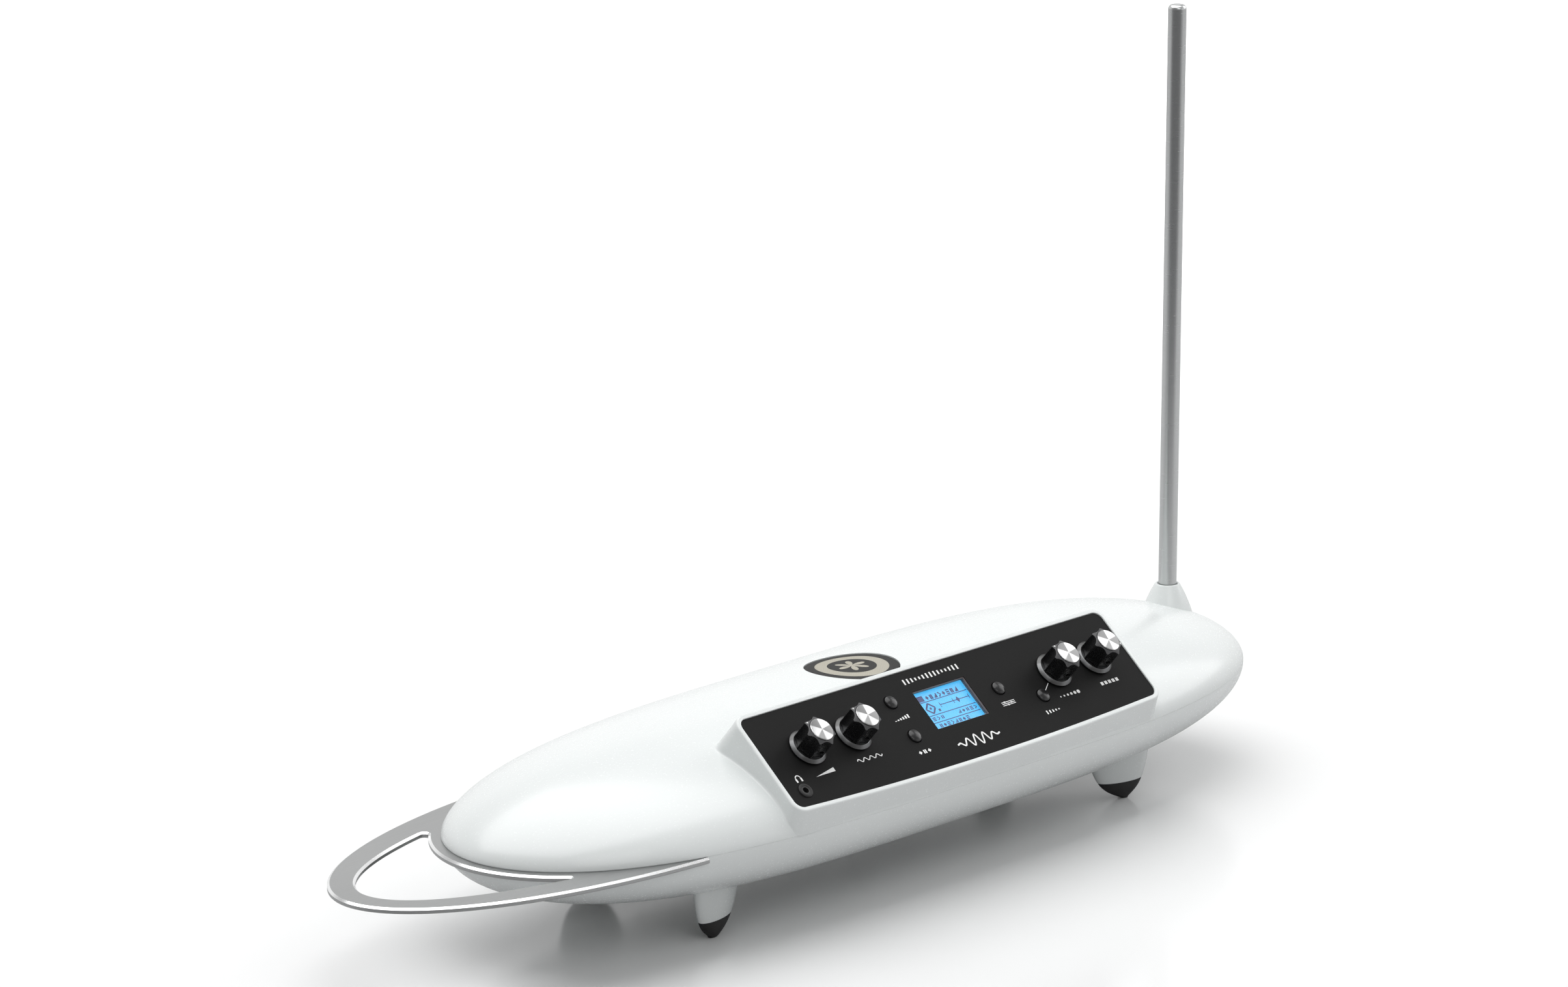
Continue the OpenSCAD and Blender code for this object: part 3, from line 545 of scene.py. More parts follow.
sheet = solid("volume_antenna_sheet", grown_rings(plate_edge, plate_way, plate_steps))
inner_cut = [level_ring(pod_outline(480, -FLANGE_IN), z) for z in (50, 70)]
slot = solid("slot", grown_rings(slot_edge, slot_way, slot_steps))
combine(sheet, "DIFFERENCE", solid("inner_cut", inner_cut), slot)
volume_antenna = smooth(sheet, 20)
print("sheet:", len(volume_antenna.data.polygons), "faces, crescent edge", len(slot_edge), "points")

# %% [markdown]
# ## Legs and rubber feet
# A leg is a stack of leaning ovals that swell quickly from a rounded tip. The lowest 10.5 mm is a
# rubber tip of its own, and the top of the leg is cut by the belly that it carries.

# %% Legs from their leaning ovals
LEG_X, LEG_Y, TIP_H, LEG_TOP = 164.0, 47.8, 10.5, 46.0
LEG_YAW = np.radians(14.0)

def leg_rings(heights, sx, sy, count=96):
    """At t = z/46 and k = sqrt(1 - (1-t)^2) the oval's half axes are 2.4 + 19.5 k (1 - e^(-z/2.5))
    and 1.8 + 5.8 k, turned by 14 degrees, and its middle has gone (5k, 1.2k) under the pod."""
    z = np.asarray(heights, float)[:, None]
    k = np.sqrt(1 - (1 - np.clip(z / LEG_TOP, 0, 1)) ** 2)
    a = np.linspace(0, 2 * np.pi, count, endpoint=False)
    p, q = (2.4 + 19.5 * k * (1 - np.exp(-z / 2.5))) * np.cos(a), (1.8 + 5.8 * k) * np.sin(a)
    x = 5.0 * k + p * np.cos(LEG_YAW) - q * np.sin(LEG_YAW)
    y = 1.2 * k + p * np.sin(LEG_YAW) + q * np.cos(LEG_YAW)
    return np.stack([-sx * x, -sy * y, z + 0 * x], -1)

legs, feet = [], []
for i in range(4):
    sx, sy = (-1, 1)[i % 2], (-1, 1)[i // 2]
    place = at(sx * LEG_X, sy * LEG_Y)
    rise = TIP_H + 0.1 + (LEG_TOP - TIP_H) * np.linspace(0, 1, 30) ** 1.3
    leg = solid(f"leg_{i + 1}_moulding", place(leg_rings(rise, sx, sy)))
    combine(leg, "DIFFERENCE", half_pod("belly", *BELLY, edge=0.0, count=300, steps=40))
    legs.append(smooth(leg, 50))
    tip = leg_rings(TIP_H * np.linspace(0, 1, 26) ** 2, sx, sy)
    seam = leg_rings([TIP_H], sx, sy)
    seam[..., :2] *= 0.985
    tip[-1] = seam[0]
    feet.append(smooth(solid(f"foot_{i + 1}_rubber", place(tip)), 50))
print("legs:", [len(x.data.polygons) for x in legs])

# %% [markdown]
# ## The pitch antenna
# A plain turned rod with a rounded tip and a fine chamfer at its foot.

# %% The rod
ROD_TOP, ROD_FOOT, TIP_ROUND = 430.5, 71.1, 2.4
tip_arc = np.linspace(0, np.pi / 2, 14)[:-1]
tip_way = np.column_stack([np.cos(tip_arc), np.sin(tip_arc)])
rod_profile = np.vstack([
    [(ROD_R - 0.6, ROD_FOOT), (ROD_R, ROD_FOOT + 0.6)],
    np.column_stack([np.full(40, ROD_R), np.linspace(72.5, ROD_TOP - TIP_ROUND, 40)]),
    np.array([ROD_R - TIP_ROUND, ROD_TOP - TIP_ROUND]) + TIP_ROUND * tip_way,
    [(1.5, ROD_TOP)]])
pitch_rod = smooth(turn("pitch_rod_turned", rod_profile, at(ROD_X, 0)), 40)
print("rod:", len(pitch_rod.data.polygons), "faces")

# %% [markdown]
# ## Knobs
# A knob is a prism with seven scallops. In plan its radius is the smaller of a plain circle and
# the far wall of each scalloping cutter, blended so that the ridges are a little soft. It stands
# on a satin metal skirt, its top is bevelled, and a turned aluminium disc is let into it.

# %% A seven-lobed knob
KNOB_V, KNOB_U = 2.4, {"volume": -110.9, "pitch": -76.3, "effect": 82.3, "preset": 115.2}
KNOB_H, BODY_R, CAP_R, SKIRT_TOP = 17.3, 9.3, 6.85, 3.2
LOBES, FLUTE_R, FLUTE_D, BEYOND = 7, 7.0, 14.6, 12.0
BEVEL_LOW, BEVEL_TOP, BEVEL_R = 15.3, 16.5, 7.15
PIN_R, PIN_H = 1.1, 7.0

def softer_min(a, b, soft=12.0):
    """-log(exp(-k a) + exp(-k b)) / k: the smaller of the two, with a small round where they meet."""
    return -np.log(np.exp(-soft * a) + np.exp(-soft * b)) / soft

def lobed_radius(t):
    """The smaller of the body's radius and f = D cos d - sqrt(F^2 - D^2 sin^2 d), which is where
    the ray at d from a cutter's middle meets the cutter."""
    pitch = 2 * np.pi / LOBES
    d = (t + pitch / 2) % pitch - pitch / 2
    inner = FLUTE_R ** 2 - (FLUTE_D * np.sin(d)) ** 2
    reach = FLUTE_D * np.cos(d) - np.sqrt(np.clip(inner, 0, None))
    flute = np.where(inner > 0, reach, BEYOND)
    return softer_min(np.full_like(t, BODY_R), np.minimum(flute, BEYOND))

def knob_body(name, u):
    """Rings of (radius, height): a scalloped wall, then the same wall met by a bevel whose radius
    falls evenly from BODY_R to BEVEL_R, and the seat of the cap. A hole for a pin is cut in from the side."""
    t = np.linspace(0, 2 * np.pi, 420, endpoint=False)
    r = lobed_radius(t)
    rows = [(r - 0.25, SKIRT_TOP + 0.02), (r, SKIRT_TOP + 0.25), (r, 8.0), (r, 14.9)]
    for h in np.linspace(BEVEL_LOW - 0.15, BEVEL_TOP, 14):
        cone = BODY_R - (h - BEVEL_LOW) * (BODY_R - BEVEL_R) / (BEVEL_TOP - BEVEL_LOW)
        rows.append((softer_min(r, np.full_like(t, cone)), h))
    rows += [(np.full_like(t, CAP_R + 0.12), BEVEL_TOP), (np.full_like(t, CAP_R + 0.06), BEVEL_TOP - 0.6)]
    rings = np.array([np.stack([q * np.cos(t), q * np.sin(t), np.full_like(t, h)], -1) for q, h in rows])
    body = solid(name, on_panel(u, KNOB_V)(rings))
    a = np.linspace(0, 2 * np.pi, 32, endpoint=False)
    pin = np.array([np.column_stack([PIN_R * np.cos(a), np.full(32, -y), PIN_H + PIN_R * np.sin(a)])
                    for y in (4.5, 11.0)])
    return smooth(combine(body, "DIFFERENCE", solid("pin", on_panel(u, KNOB_V)(pin))), 30)

def with_turning_uv(piece, u, v):
    """A UV map for turned metal: U is the angle round (u, v) on the panel, V the distance."""
    mesh = piece.data
    p = in_pod(read(mesh.vertices, "co", 3))[read(mesh.loops, "vertex_index")] - PANEL_O
    a, b = p @ PANEL_U - u, p @ PANEL_V - v
    angle = np.arctan2(b, a) / (2 * np.pi) % 1.0
    sizes = read(mesh.polygons, "loop_total")
    first = np.repeat(angle[np.cumsum(sizes) - sizes], sizes)
    angle += np.round(first - angle)
    uv = mesh.uv_layers.new(name="turning")
    uv.data.foreach_set("uv", np.stack([angle, np.hypot(a, b) / 10.0], -1).ravel())
    return piece

def signed_area(flat):
    """Half the sum of x0 y1 - x1 y0 round an outline, which is positive where it runs anticlockwise."""
    x, y = flat.T
    return 0.5 * np.sum(x * np.roll(y, -1) - np.roll(x, -1) * y)

def washer(name, profile, place, count=128):
    """A ring with a hole: the profile is a closed loop of (r, h), carried right round."""
    loop = np.asarray(profile, float)
    t = np.linspace(0, 2 * np.pi, count, endpoint=False)[:, None]
    grid = np.stack([loop[:, 0] * np.cos(t), loop[:, 0] * np.sin(t), loop[:, 1] + 0 * t], -1)
    c = len(loop)
    i, j = np.meshgrid(np.arange(count), np.arange(c), indexing="ij")
    i2, j2 = (i + 1) % count, (j + 1) % c
    quads = np.stack([i * c + j, i2 * c + j, i2 * c + j2, i * c + j2], -1).reshape(-1, 4)
    faces = quads if signed_area(loop) > 0 else quads[:, ::-1]
    return mesh_object(name, place(grid.reshape(-1, 3)), faces.tolist())

SKIRT = [(7.05, 1.1), (10.8, 1.1), (11.0, 1.3), (11.0, 1.65), (10.85, 1.9), (9.45, 3.15),
         (9.2, SKIRT_TOP), (7.05, SKIRT_TOP)]
arc = np.linspace(0, np.pi / 2, 7)
CAP = np.vstack([
    [(CAP_R - 0.05, KNOB_H - 1.5)],
    np.column_stack([CAP_R - 0.4 + 0.35 * np.cos(arc), KNOB_H - 0.43 + 0.35 * np.sin(arc)]),
    [(6.0, KNOB_H - 0.06), (4.5, KNOB_H - 0.03), (3.0, KNOB_H - 0.01), (1.5, KNOB_H), (0.05, KNOB_H)]])
knobs = {}
for name, u in KNOB_U.items():
    body = knob_body(f"{name}_knob_lobed", u)
    skirt = washer(f"{name}_skirt_cone", SKIRT, on_panel(u, KNOB_V))
    cap = turn(f"{name}_cap_disc", CAP, on_panel(u, KNOB_V), 128)
    knobs[name] = (body, *[smooth(with_turning_uv(piece, u, KNOB_V), 25) for piece in (skirt, cap)])
print("knob body:", len(knobs["pitch"][0].data.polygons), "faces")

# %% Index dots
DOT_OUT, DOT = 8.2, [(0.5, 15.5), (0.5, 16.1), (0.38, 16.22), (0.12, 16.26)]
dots = {}
for name, u in KNOB_U.items():
    a = np.pi * 2 / LOBES * (-0.5 if name == "preset" else 2.5)
    place = on_panel(u + DOT_OUT * np.cos(a), KNOB_V + DOT_OUT * np.sin(a))
    dots[name] = smooth(turn(f"{name}_index_dot", DOT, place, 24), 40)
print("dots:", len(dots))

# %% [markdown]
# ## Push buttons
# Small domed keys in a dark plastic. The dome is an arc of a circle with a small rounded
# shoulder, and below the panel a collar keeps the key in.

# %% Domed keys
BUTTONS = {"scale": (-38, 13.3), "root": (-38, -9.5), "setup": (38, 2.5), "delay": (64, -9.6)}
crown = through([(4.0, 0.35), (3.86, 0.85), (3.4, 1.28), (2.6, 1.62), (1.6, 1.86), (0.7, 1.97),
                 (0.05, 2.0)], 24)
stem = [(1.6, -8.6), (1.6, -4.2), (5.0, -4.2), (5.0, -2.2), (4.0, -2.2), (4.0, 0.0)]
keys = {}
for name, (u, v) in BUTTONS.items():
    keys[name] = smooth(turn(f"{name}_key_domed", np.vstack([stem, crown]), on_panel(u, v), 64), 35)
print("keys:", list(keys))

# %% [markdown]
# ## The display
# The glass lies over a shallow recess with a lit panel in it. The lit panel shows a tuning
# scale: a header band, a few rules, a diamond, a centred scale with ticks and a pointer, and rows
# of small signs. The marks are thin flat shapes just above the lit surface, drawn as ribbons.

# %% Ribbons and flat shapes on the panel plane
def ribbon(path, width):
    """Points half a width to each side of a path, as two triangles a step."""
    p = np.asarray(path, float)
    way = np.gradient(p, axis=0)
    side = np.stack([-way[:, 1], way[:, 0]], -1)
    side *= width / 2 / np.linalg.norm(side, axis=1, keepdims=True)
    n = len(p)
    i = np.arange(n - 1)
    return np.vstack([p + side, p - side]), np.stack([i + n, i + n + 1, i + 1, i], -1).tolist()

def arc_path(u, v, r, a, b, count=24):
    """An arc round (u, v) from a to b degrees."""
    t = np.radians(np.linspace(a, b, count))
    return np.column_stack([u + r * np.cos(t), v + r * np.sin(t)])

def bar(u, v, w, h):
    """A filled rectangle from its middle."""
    corners = np.array([(-1, -1), (1, -1), (1, 1), (-1, 1)])
    return np.array([u, v]) + corners * np.array([w / 2, h / 2]), [[0, 1, 2, 3]]

def polygon(*points):
    """A filled outline."""
    return np.array(points, float), [list(range(len(points)))]

def disc(u, v, r, count=24):
    """A filled circle."""
    return arc_path(u, v, r, 0, 360 * (count - 1) / count, count), [list(range(count))]

def printed(name, shapes, height, place=on_panel()):
    """All flat shapes as one mesh at one height over the panel, looking outwards."""
    points, faces, base = [], [], 0
    for flat, quads in shapes:
        outwards = sum(signed_area(flat[f]) for f in quads) > 0
        faces += [[base + k for k in (f if outwards else f[::-1])] for f in quads]
        points.append(np.column_stack([flat, np.full(len(flat), height)]))
        base += len(flat)
    return mesh_object(name, place(np.concatenate(points)), faces)

# %% A row of signs
def sign(kind, u, v, w, h, stroke):
    """One plain sign about w by h: diamond, double bar, rising steps, chevron or three lines."""
    if kind == "d":
        return [polygon((u - w / 2, v), (u, v - h / 2), (u + w / 2, v), (u, v + h / 2))]
    if kind == "p":
        return [bar(u + d * w / 4, v, stroke * 1.3, h) for d in (-1, 1)]
    if kind == "z":
        return [bar(u + d * w / 3, v - h / 2 + h * (d + 2) / 6, stroke, h * (d + 2) / 3) for d in (-1, 0, 1)]
    if kind == "c":
        return [ribbon([(u - w / 3, v + h / 2), (u + w / 3, v), (u - w / 3, v - h / 2)], stroke * 1.2)]
    return [bar(u, v + d * h / 2.4, w, stroke) for d in (-1, 0, 1)]

def signs(u, v, w, h, kinds, stroke):
    """Signs spread evenly over a width w, each filling 0.72 of its share."""
    step = w / len(kinds)
    return [shape for i, kind in enumerate(kinds)
            for shape in sign(kind, u - w / 2 + (i + 0.5) * step, v, 0.72 * step, h, stroke)]

# %% The lit panel and its marks
WINDOW_U, WINDOW_V, LIT_N = 0.6, 2.8, -3.95

def window_block(name, half_w, half_h, low, high):
    """A block round the window's middle, between two heights over the panel."""
    return box(name, (WINDOW_U - half_w, WINDOW_V - half_h, low),
               (WINDOW_U + half_w, WINDOW_V + half_h, high), on_panel())

lit = window_block("display_lit_panel", 20.6, 12.9, LIT_N - 0.04, LIT_N)
rules = [bar(2.4, v, 36.4, 0.5) for v in (9.2, 0.3, -4.4)]
header = [bar(-14.2, 11.6, 5.4, 3.6)] + signs(2.6, 11.3, 26, 2.9, "dpzcdhpz", 0.8)
corners = [(-14.6, 4.7), (-11.2, 8.1), (-7.8, 4.7), (-11.2, 1.3), (-14.6, 4.7)]
diamond = [ribbon(corners[k:k + 2], 1.1) for k in range(4)]
diamond += [bar(-11.2, 4.7, 1.4, 1.4), bar(-5.9, 2.4, 1.6, 1.6)]
dial = [bar(7.9, 5.2, 22.6, 0.5)]
dial += [bar(u, 5.2, 0.5, 2 * h) for u, h in ((-3.3, 1.5), (7.0, 1.6), (19.1, 1.6))]
pointer = [polygon((9.3, 5.2), (10.6, 3.1), (11.9, 5.2), (10.6, 7.3))]
lines = signs(-10.4, -2.0, 9.6, 2.1, "hcp", 0.6) + signs(12.4, -2.0, 15.5, 2.1, "zdphc", 0.6)
lines += signs(-1.6, -6.7, 24, 2.3, "pdhczpdh", 0.6)
screen_marks = printed("display_marks", rules + header + diamond + dial + pointer + lines, LIT_N + 0.03)
liner = window_block("display_liner", 20.25, 12.6, -PANEL_T, -0.45)
combine(liner, "DIFFERENCE", window_block("clear", 19.95, 12.3, -3, 1))
print("display marks:", len(screen_marks.data.polygons), "faces")

# %% [markdown]
# ## Printed marks on the panel
# Plain pictograms stand under the controls: a rising wedge, a wave, steps, sliders, dots and
# bars, with a row of bars over the display and a swelling wave below it. They are flat shapes a
# few hundredths of a millimetre above the panel, which is what a screen print is.

# %% Panel marks
def wedge(u, v, w, h):
    """A triangle that rises to the right."""
    return polygon((u - w / 2, v - h / 2), (u + w / 2, v - h / 2), (u + w / 2, v + h / 2))

def wave(u, v, w, h, turns, stroke, burst=False):
    """v + h/2 sin(2 pi turns t), and with burst its height swells and fades as sin(pi t)."""
    t = np.linspace(0, 1, 40 * turns)
    swell = np.sin(np.pi * t) if burst else 1
    up = v + h / 2 * swell * np.sin(2 * np.pi * turns * t)
    return ribbon(np.column_stack([u - w / 2 + w * t, up]), stroke)

def row(count, shape):
    """The shape for k = 0, 1, 2 and so on."""
    return [shape(k) for k in range(count)]

marks = [wedge(-110.0, -13.5, 14.6, 2.5), wave(-75.7, -13.5, 18.6, 1.9, 4, 0.62)]
marks += row(6, lambda k: bar(-43.0 + 2.0 * k, 1.7 + 0.2 * (k + 1), 1.15, 0.4 * (k + 1)))
marks += signs(-38.2, -19.8, 10.4, 2.3, "dpd", 0.75)
marks += [bar(38.0, -7.5 + d, 10.0, 0.4) for d in (-1.0, 0, 1.0)]
marks += [bar(38 + u, -7.5 + d, 1.2, 0.95) for u, d in ((-2.6, 1.0), (2.2, 0), (-0.6, -1.0))]
marks += row(6, lambda k: disc(75.2 + 2.85 * k, -13.5, 0.45 + 0.14 * k))
marks += row(5, lambda k: bar(58.8 + 2.35 * k, -19.9, 0.95, 2.4 - 0.4 * k))
marks += row(5, lambda k: bar(109.2 + 3.0 * k, -13.5, 2.0, 2.1))
marks += [ribbon([(73.4, -3.4), (68.2, -7.0)], 0.4)]
marks += [bar(0.4 + 2.95 * k, 22.3, 1.15, 1.3 + 2.0 * abs(np.cos(np.pi * k / 7))) for k in range(-7, 8)]
marks += [wave(2.0, -22.2, 33.0, 6.6, 5, 1.0, burst=True), ribbon(arc_path(-129.0, -12.4, 1.7, -8, 188), 0.6)]
marks += [bar(u, -13.5, 1.15, 2.3) for u in (-130.75, -127.25)]
panel_marks = printed("panel_marks", marks, 0.03)
print("panel marks:", len(panel_marks.data.polygons), "faces")

# %% [markdown]
# ## Loudspeaker cloth
# The loudspeaker in the crown of the pod is covered by a disc of woven cloth that follows the
# dome. It is black and warm grey, with a plain dark hem where it is glued into its seat.

# %% The cloth disc
def cloth_ring(r, drop, count=144):
    """A circle round the loudspeaker's middle, lying drop under the dome's own surface."""
    t = np.linspace(0, 2 * np.pi, count, endpoint=False)
    x, y = r * np.cos(t), SPEAKER_Y + r * np.sin(t)
    return np.stack([x, y, dome_z(x, y) - drop], -1)

hem = [(GRILLE_R - 1.6, 0.95), (GRILLE_R - 0.15, 0.95), (GRILLE_R - 0.15, 0.7), (GRILLE_R - 0.5, 0.45)]
flat_part = [(r, 0.4) for r in np.linspace(25.2, 0.1, 40)]
cloth = smooth(solid("speaker_cloth", [cloth_ring(r, d) for r, d in hem + flat_part]), 50)
print("cloth:", len(cloth.data.polygons), "faces")

# %% [markdown]
# ## Headphone socket
# A rubbery black ring with a rolled edge stands round the socket's bore.

# %% Socket ring
PHONES_U, PHONES_V = -129.9, -20.3
rolled = [(1.85, 0.02), (4.15, 0.02), (4.15, 0.3), (3.95, 0.75), (3.5, 0.98), (2.9, 0.95), (2.35, 0.6),
          (1.95, 0.2), (1.85, -0.6)]
phones_ring = smooth(washer("headphone_ring", rolled, on_panel(PHONES_U, PHONES_V), 96), 40)
print("socket ring:", len(phones_ring.data.polygons), "faces")

# %% [markdown]
# ## Materials
# Each finish is a short stack of nodes on Object coordinates, in metres. The grain of a real
# surface is small: a tenth of a millimetre on moulded plastic, finer on rubber, and long and
# thin on brushed metal. Numbers that hold all over a finish stay on the shader's own sockets.

# %% A finish and its nodes
def finish(name, colour, rough, metal=0.0, **sockets):
    """A Principled material with its main sockets."""
    material = bpy.data.materials.new(name)
    material.use_nodes = True
    values = {"Base Color": (*colour, 1), "Roughness": rough, "Metallic": metal}
    values.update({socket.replace("_", " "): value for socket, value in sockets.items()})
    for socket, value in values.items():
        main_shader(material).inputs[socket].default_value = value
    material.diffuse_color = (*colour, 1)
    return material

def main_shader(material):
    """The material's Principled node."""
    return material.node_tree.nodes["Principled BSDF"]

def node(owner, kind, **values):
    """A node of a material or the world with its settings; keys with a capital are sockets."""
    made = owner.node_tree.nodes.new(kind)
    for key, value in values.items():
        if key[0].isupper():
            made.inputs[key.replace("_", " ")].default_value = value
        else:
            setattr(made, key, value)
    return made

def link(owner, a, b):
    """Join an output to an input."""
    owner.node_tree.links.new(a, b)

def feed(owner, made, values):
    """Give a node's inputs, in order, a number or colour each, or a socket to follow."""
    for socket, value in zip(made.inputs, values):
        if isinstance(value, bpy.types.NodeSocket):
            link(owner, value, socket)
        else:
            socket.default_value = value

def maths(owner, operation, *values):
    """A Math node; each value is a socket or a number."""
    made = node(owner, "ShaderNodeMath", operation=operation)
    feed(owner, made, values)
    return made.outputs["Value"]

def blend(material, how, factor, first, second):
    """A mix of two colours."""
    made = node(material, "ShaderNodeMixRGB", blend_type=how)
    feed(material, made, (factor, first, second))
    return made.outputs["Color"]

def step(owner, value, low, high, first=0.0, last=1.0):
    """Smoothstep from first, where the value is low, to last, where it is high."""
    made = node(owner, "ShaderNodeMapRange", interpolation_type="SMOOTHSTEP", From_Min=low, From_Max=high,
                To_Min=first, To_Max=last)
    link(owner, value, made.inputs["Value"])
    return made.outputs["Result"]

def two_tones(material, factor, low, high, dark, bright):
    """The base colour goes from dark, where the factor is low, to bright, where it is high."""
    ramp = node(material, "ShaderNodeValToRGB")
    for stop, position, colour in zip(ramp.color_ramp.elements, (low, high), (dark, bright)):
        stop.position, stop.color = position, (*colour, 1)
    link(material, factor, ramp.inputs["Fac"])
    link(material, ramp.outputs["Color"], main_shader(material).inputs["Base Color"])

def place_nodes(material, scale=(1, 1, 1), shift=(0, 0, 0), coordinates="Object"):
    """Object coordinates, or the piece's own UV, moved and stretched."""
    source = node(material, "ShaderNodeTexCoord")
    mapping = node(material, "ShaderNodeMapping", Location=shift, Scale=scale)
    link(material, source.outputs[coordinates], mapping.inputs["Vector"])
    return mapping.outputs["Vector"]

def around_middle(material, vector):
    """x, y and sqrt(x^2 + y^2) of a vector."""
    part = node(material, "ShaderNodeSeparateXYZ")
    link(material, vector, part.inputs["Vector"])
    x, y = part.outputs["X"], part.outputs["Y"]
    squares = [maths(material, "MULTIPLY", way, way) for way in (x, y)]
    return x, y, maths(material, "SQRT", maths(material, "ADD", *squares))

def bands(material, vector, way, scale, **more):
    """(1 + sin(20 scale x + phase)) / 2 along one axis."""
    made = node(material, "ShaderNodeTexWave", wave_type="BANDS", bands_direction=way, Scale=scale, **more)
    link(material, vector, made.inputs["Vector"])
    return made.outputs["Fac"]

# %% Grain
def grey(value, blue=0.0):
    """A grey, with a little more blue where asked."""
    return value, value, value + blue

def cool(value):
    """The faint blue-green of bare aluminium."""
    return value, value + 0.005, value + 0.005

def grain(material, vector, scale, strength, depth, detail=3.0, rough=None, tint=None):
    """Noise that bumps the surface by a depth in micrometres, and may also move its roughness and
    its colour. A second layer builds on the first one's bump."""
    shader = main_shader(material)
    noise = node(material, "ShaderNodeTexNoise", Scale=scale, Detail=detail)
    link(material, vector, noise.inputs["Vector"])
    bump = node(material, "ShaderNodeBump", Strength=strength, Distance=depth * 1e-6)
    link(material, noise.outputs["Fac"], bump.inputs["Height"])
    previous = shader.inputs["Normal"].links
    if previous:
        link(material, previous[0].from_socket, bump.inputs["Normal"])
    link(material, bump.outputs["Normal"], shader.inputs["Normal"])
    if rough:
        span = node(material, "ShaderNodeMapRange", To_Min=rough[0], To_Max=rough[1])
        link(material, noise.outputs["Fac"], span.inputs["Value"])
        link(material, span.outputs["Result"], shader.inputs["Roughness"])
    if tint:
        two_tones(material, noise.outputs["Fac"], 0.3, 0.7, *tint)

def grained(name, colour, rough, size, strength, depth, span=None, tint=None, stretch=(1, 1, 1), **more):
    """A finish with one layer of grain: the span of its roughness, and its two tints."""
    material = finish(name, colour, rough, **more)
    grain(material, place_nodes(material, scale=stretch), size, strength, depth, rough=span, tint=tint)
    return material

# %% Plastics and rubber
shell_white = grained("gloss white moulding", (0.775, 0.805, 0.80), 0.24, 900, 0.06, 20, (0.21, 0.31),
                      Coat_Weight=0.2, Coat_Roughness=0.1)
grain(shell_white, place_nodes(shell_white), 18, 0.03, 100, detail=1,
      tint=((0.766, 0.796, 0.791), (0.784, 0.814, 0.809)))
panel_black = grained("satin black panel", grey(0.009), 0.6, 2600, 0.25, 30, (0.52, 0.68),
                      (grey(0.007), grey(0.011)), Specular_IOR_Level=0.12)
knob_black = grained("gloss black knob", grey(0.006, 0.0005), 0.26, 1500, 0.08, 20, (0.2, 0.34),
                     (grey(0.004, 0.0005), grey(0.009, 0.0005)))
# Painted sheen: the bevel is the knob's black plastic painted grey, standing in for the light that its sloping
# top reflects.
bevel_painted_sheen = grained("knob bevel painted sheen", grey(0.05, 0.002), 0.45, 1500, 0.1, 20, (0.38, 0.52),
                     (grey(0.042, 0.002), grey(0.058, 0.002)))
button_grey = grained("dark grey key", grey(0.012, 0.0005), 0.23, 2200, 0.12, 20, (0.18, 0.28),
                      (grey(0.01, 0.0005), grey(0.014, 0.0005)))
rubber_black = grained("matt black rubber", grey(0.012), 0.62, 1800, 0.35, 60, (0.5, 0.75),
                       (grey(0.009), grey(0.018)))
socket_black = grained("black socket plastic", grey(0.02), 0.42, 1400, 0.15, 30, (0.35, 0.52),
                       (grey(0.015), grey(0.026)))
mark_white = grained("white screen print", (0.86, 0.87, 0.86), 0.5, 3000, 0.1, 10, (0.45, 0.6),
                     ((0.82, 0.83, 0.82), grey(0.9)))

# %% Metals
BRUSHED = (3, 260, 260)
antenna_sheet = grained("brushed aluminium sheet", cool(0.38), 0.3, 14, 0.1, 30, (0.27, 0.35),
                        (cool(0.36), cool(0.4)), BRUSHED, metal=1.0, Anisotropic=0.3)
# A milled chamfer with a painted highlight: the same aluminium with a base colour more than twice as light as
# the sheet's, standing in for the light that the chamfer catches.
chamfer_painted_highlight = grained("milled aluminium chamfer, painted highlight", cool(0.84), 0.22, 14, 0.04, 10, (0.19, 0.26),
                         (cool(0.81), cool(0.87)), BRUSHED, metal=1.0)
rod_aluminium = grained("turned aluminium rod", (0.55, 0.56, 0.56), 0.27, 4, 0.01, 2, (0.26, 0.28),
                        ((0.54, 0.55, 0.55), (0.56, 0.57, 0.57)), (20, 20, 300), metal=1.0)

def turned_metal(name, dark, bright, rough, across):
    """Metal turned on a lathe: its grain runs round, so a highlight spreads along the radius. The
    tangent comes from the UV map, in which U runs round the piece. The base colour carries painted
    reflection: wedges, (1 + sin(2 pi m U + phase)) / 2 for m = 3 and 2, painted lighter or darker."""
    material = finish(name, bright, rough, metal=1.0, Anisotropic=0.8)
    tangent = node(material, "ShaderNodeTangent", direction_type="UV_MAP", uv_map="turning")
    link(material, tangent.outputs["Tangent"], main_shader(material).inputs["Tangent"])
    grain(material, place_nodes(material, scale=across, coordinates="UV"), 1, 0.05, 10, detail=2,
          rough=(rough - 0.05, rough + 0.06))
    vector = place_nodes(material, coordinates="UV")
    # Painted reflection: light and dark wedges in the base colour stand in for the reflections of turned metal.
    threes, twos = [bands(material, vector, "X", np.pi / 10 * m, Phase_Offset=phase)
                    for m, phase in ((3, 0.6), (2, 2.0))]
    painted_reflection_sectors = maths(material, "MULTIPLY_ADD", threes, 0.65, maths(material, "MULTIPLY", twos, 0.35))
    two_tones(material, painted_reflection_sectors, 0.4, 0.56, grey(dark), bright)
    return material

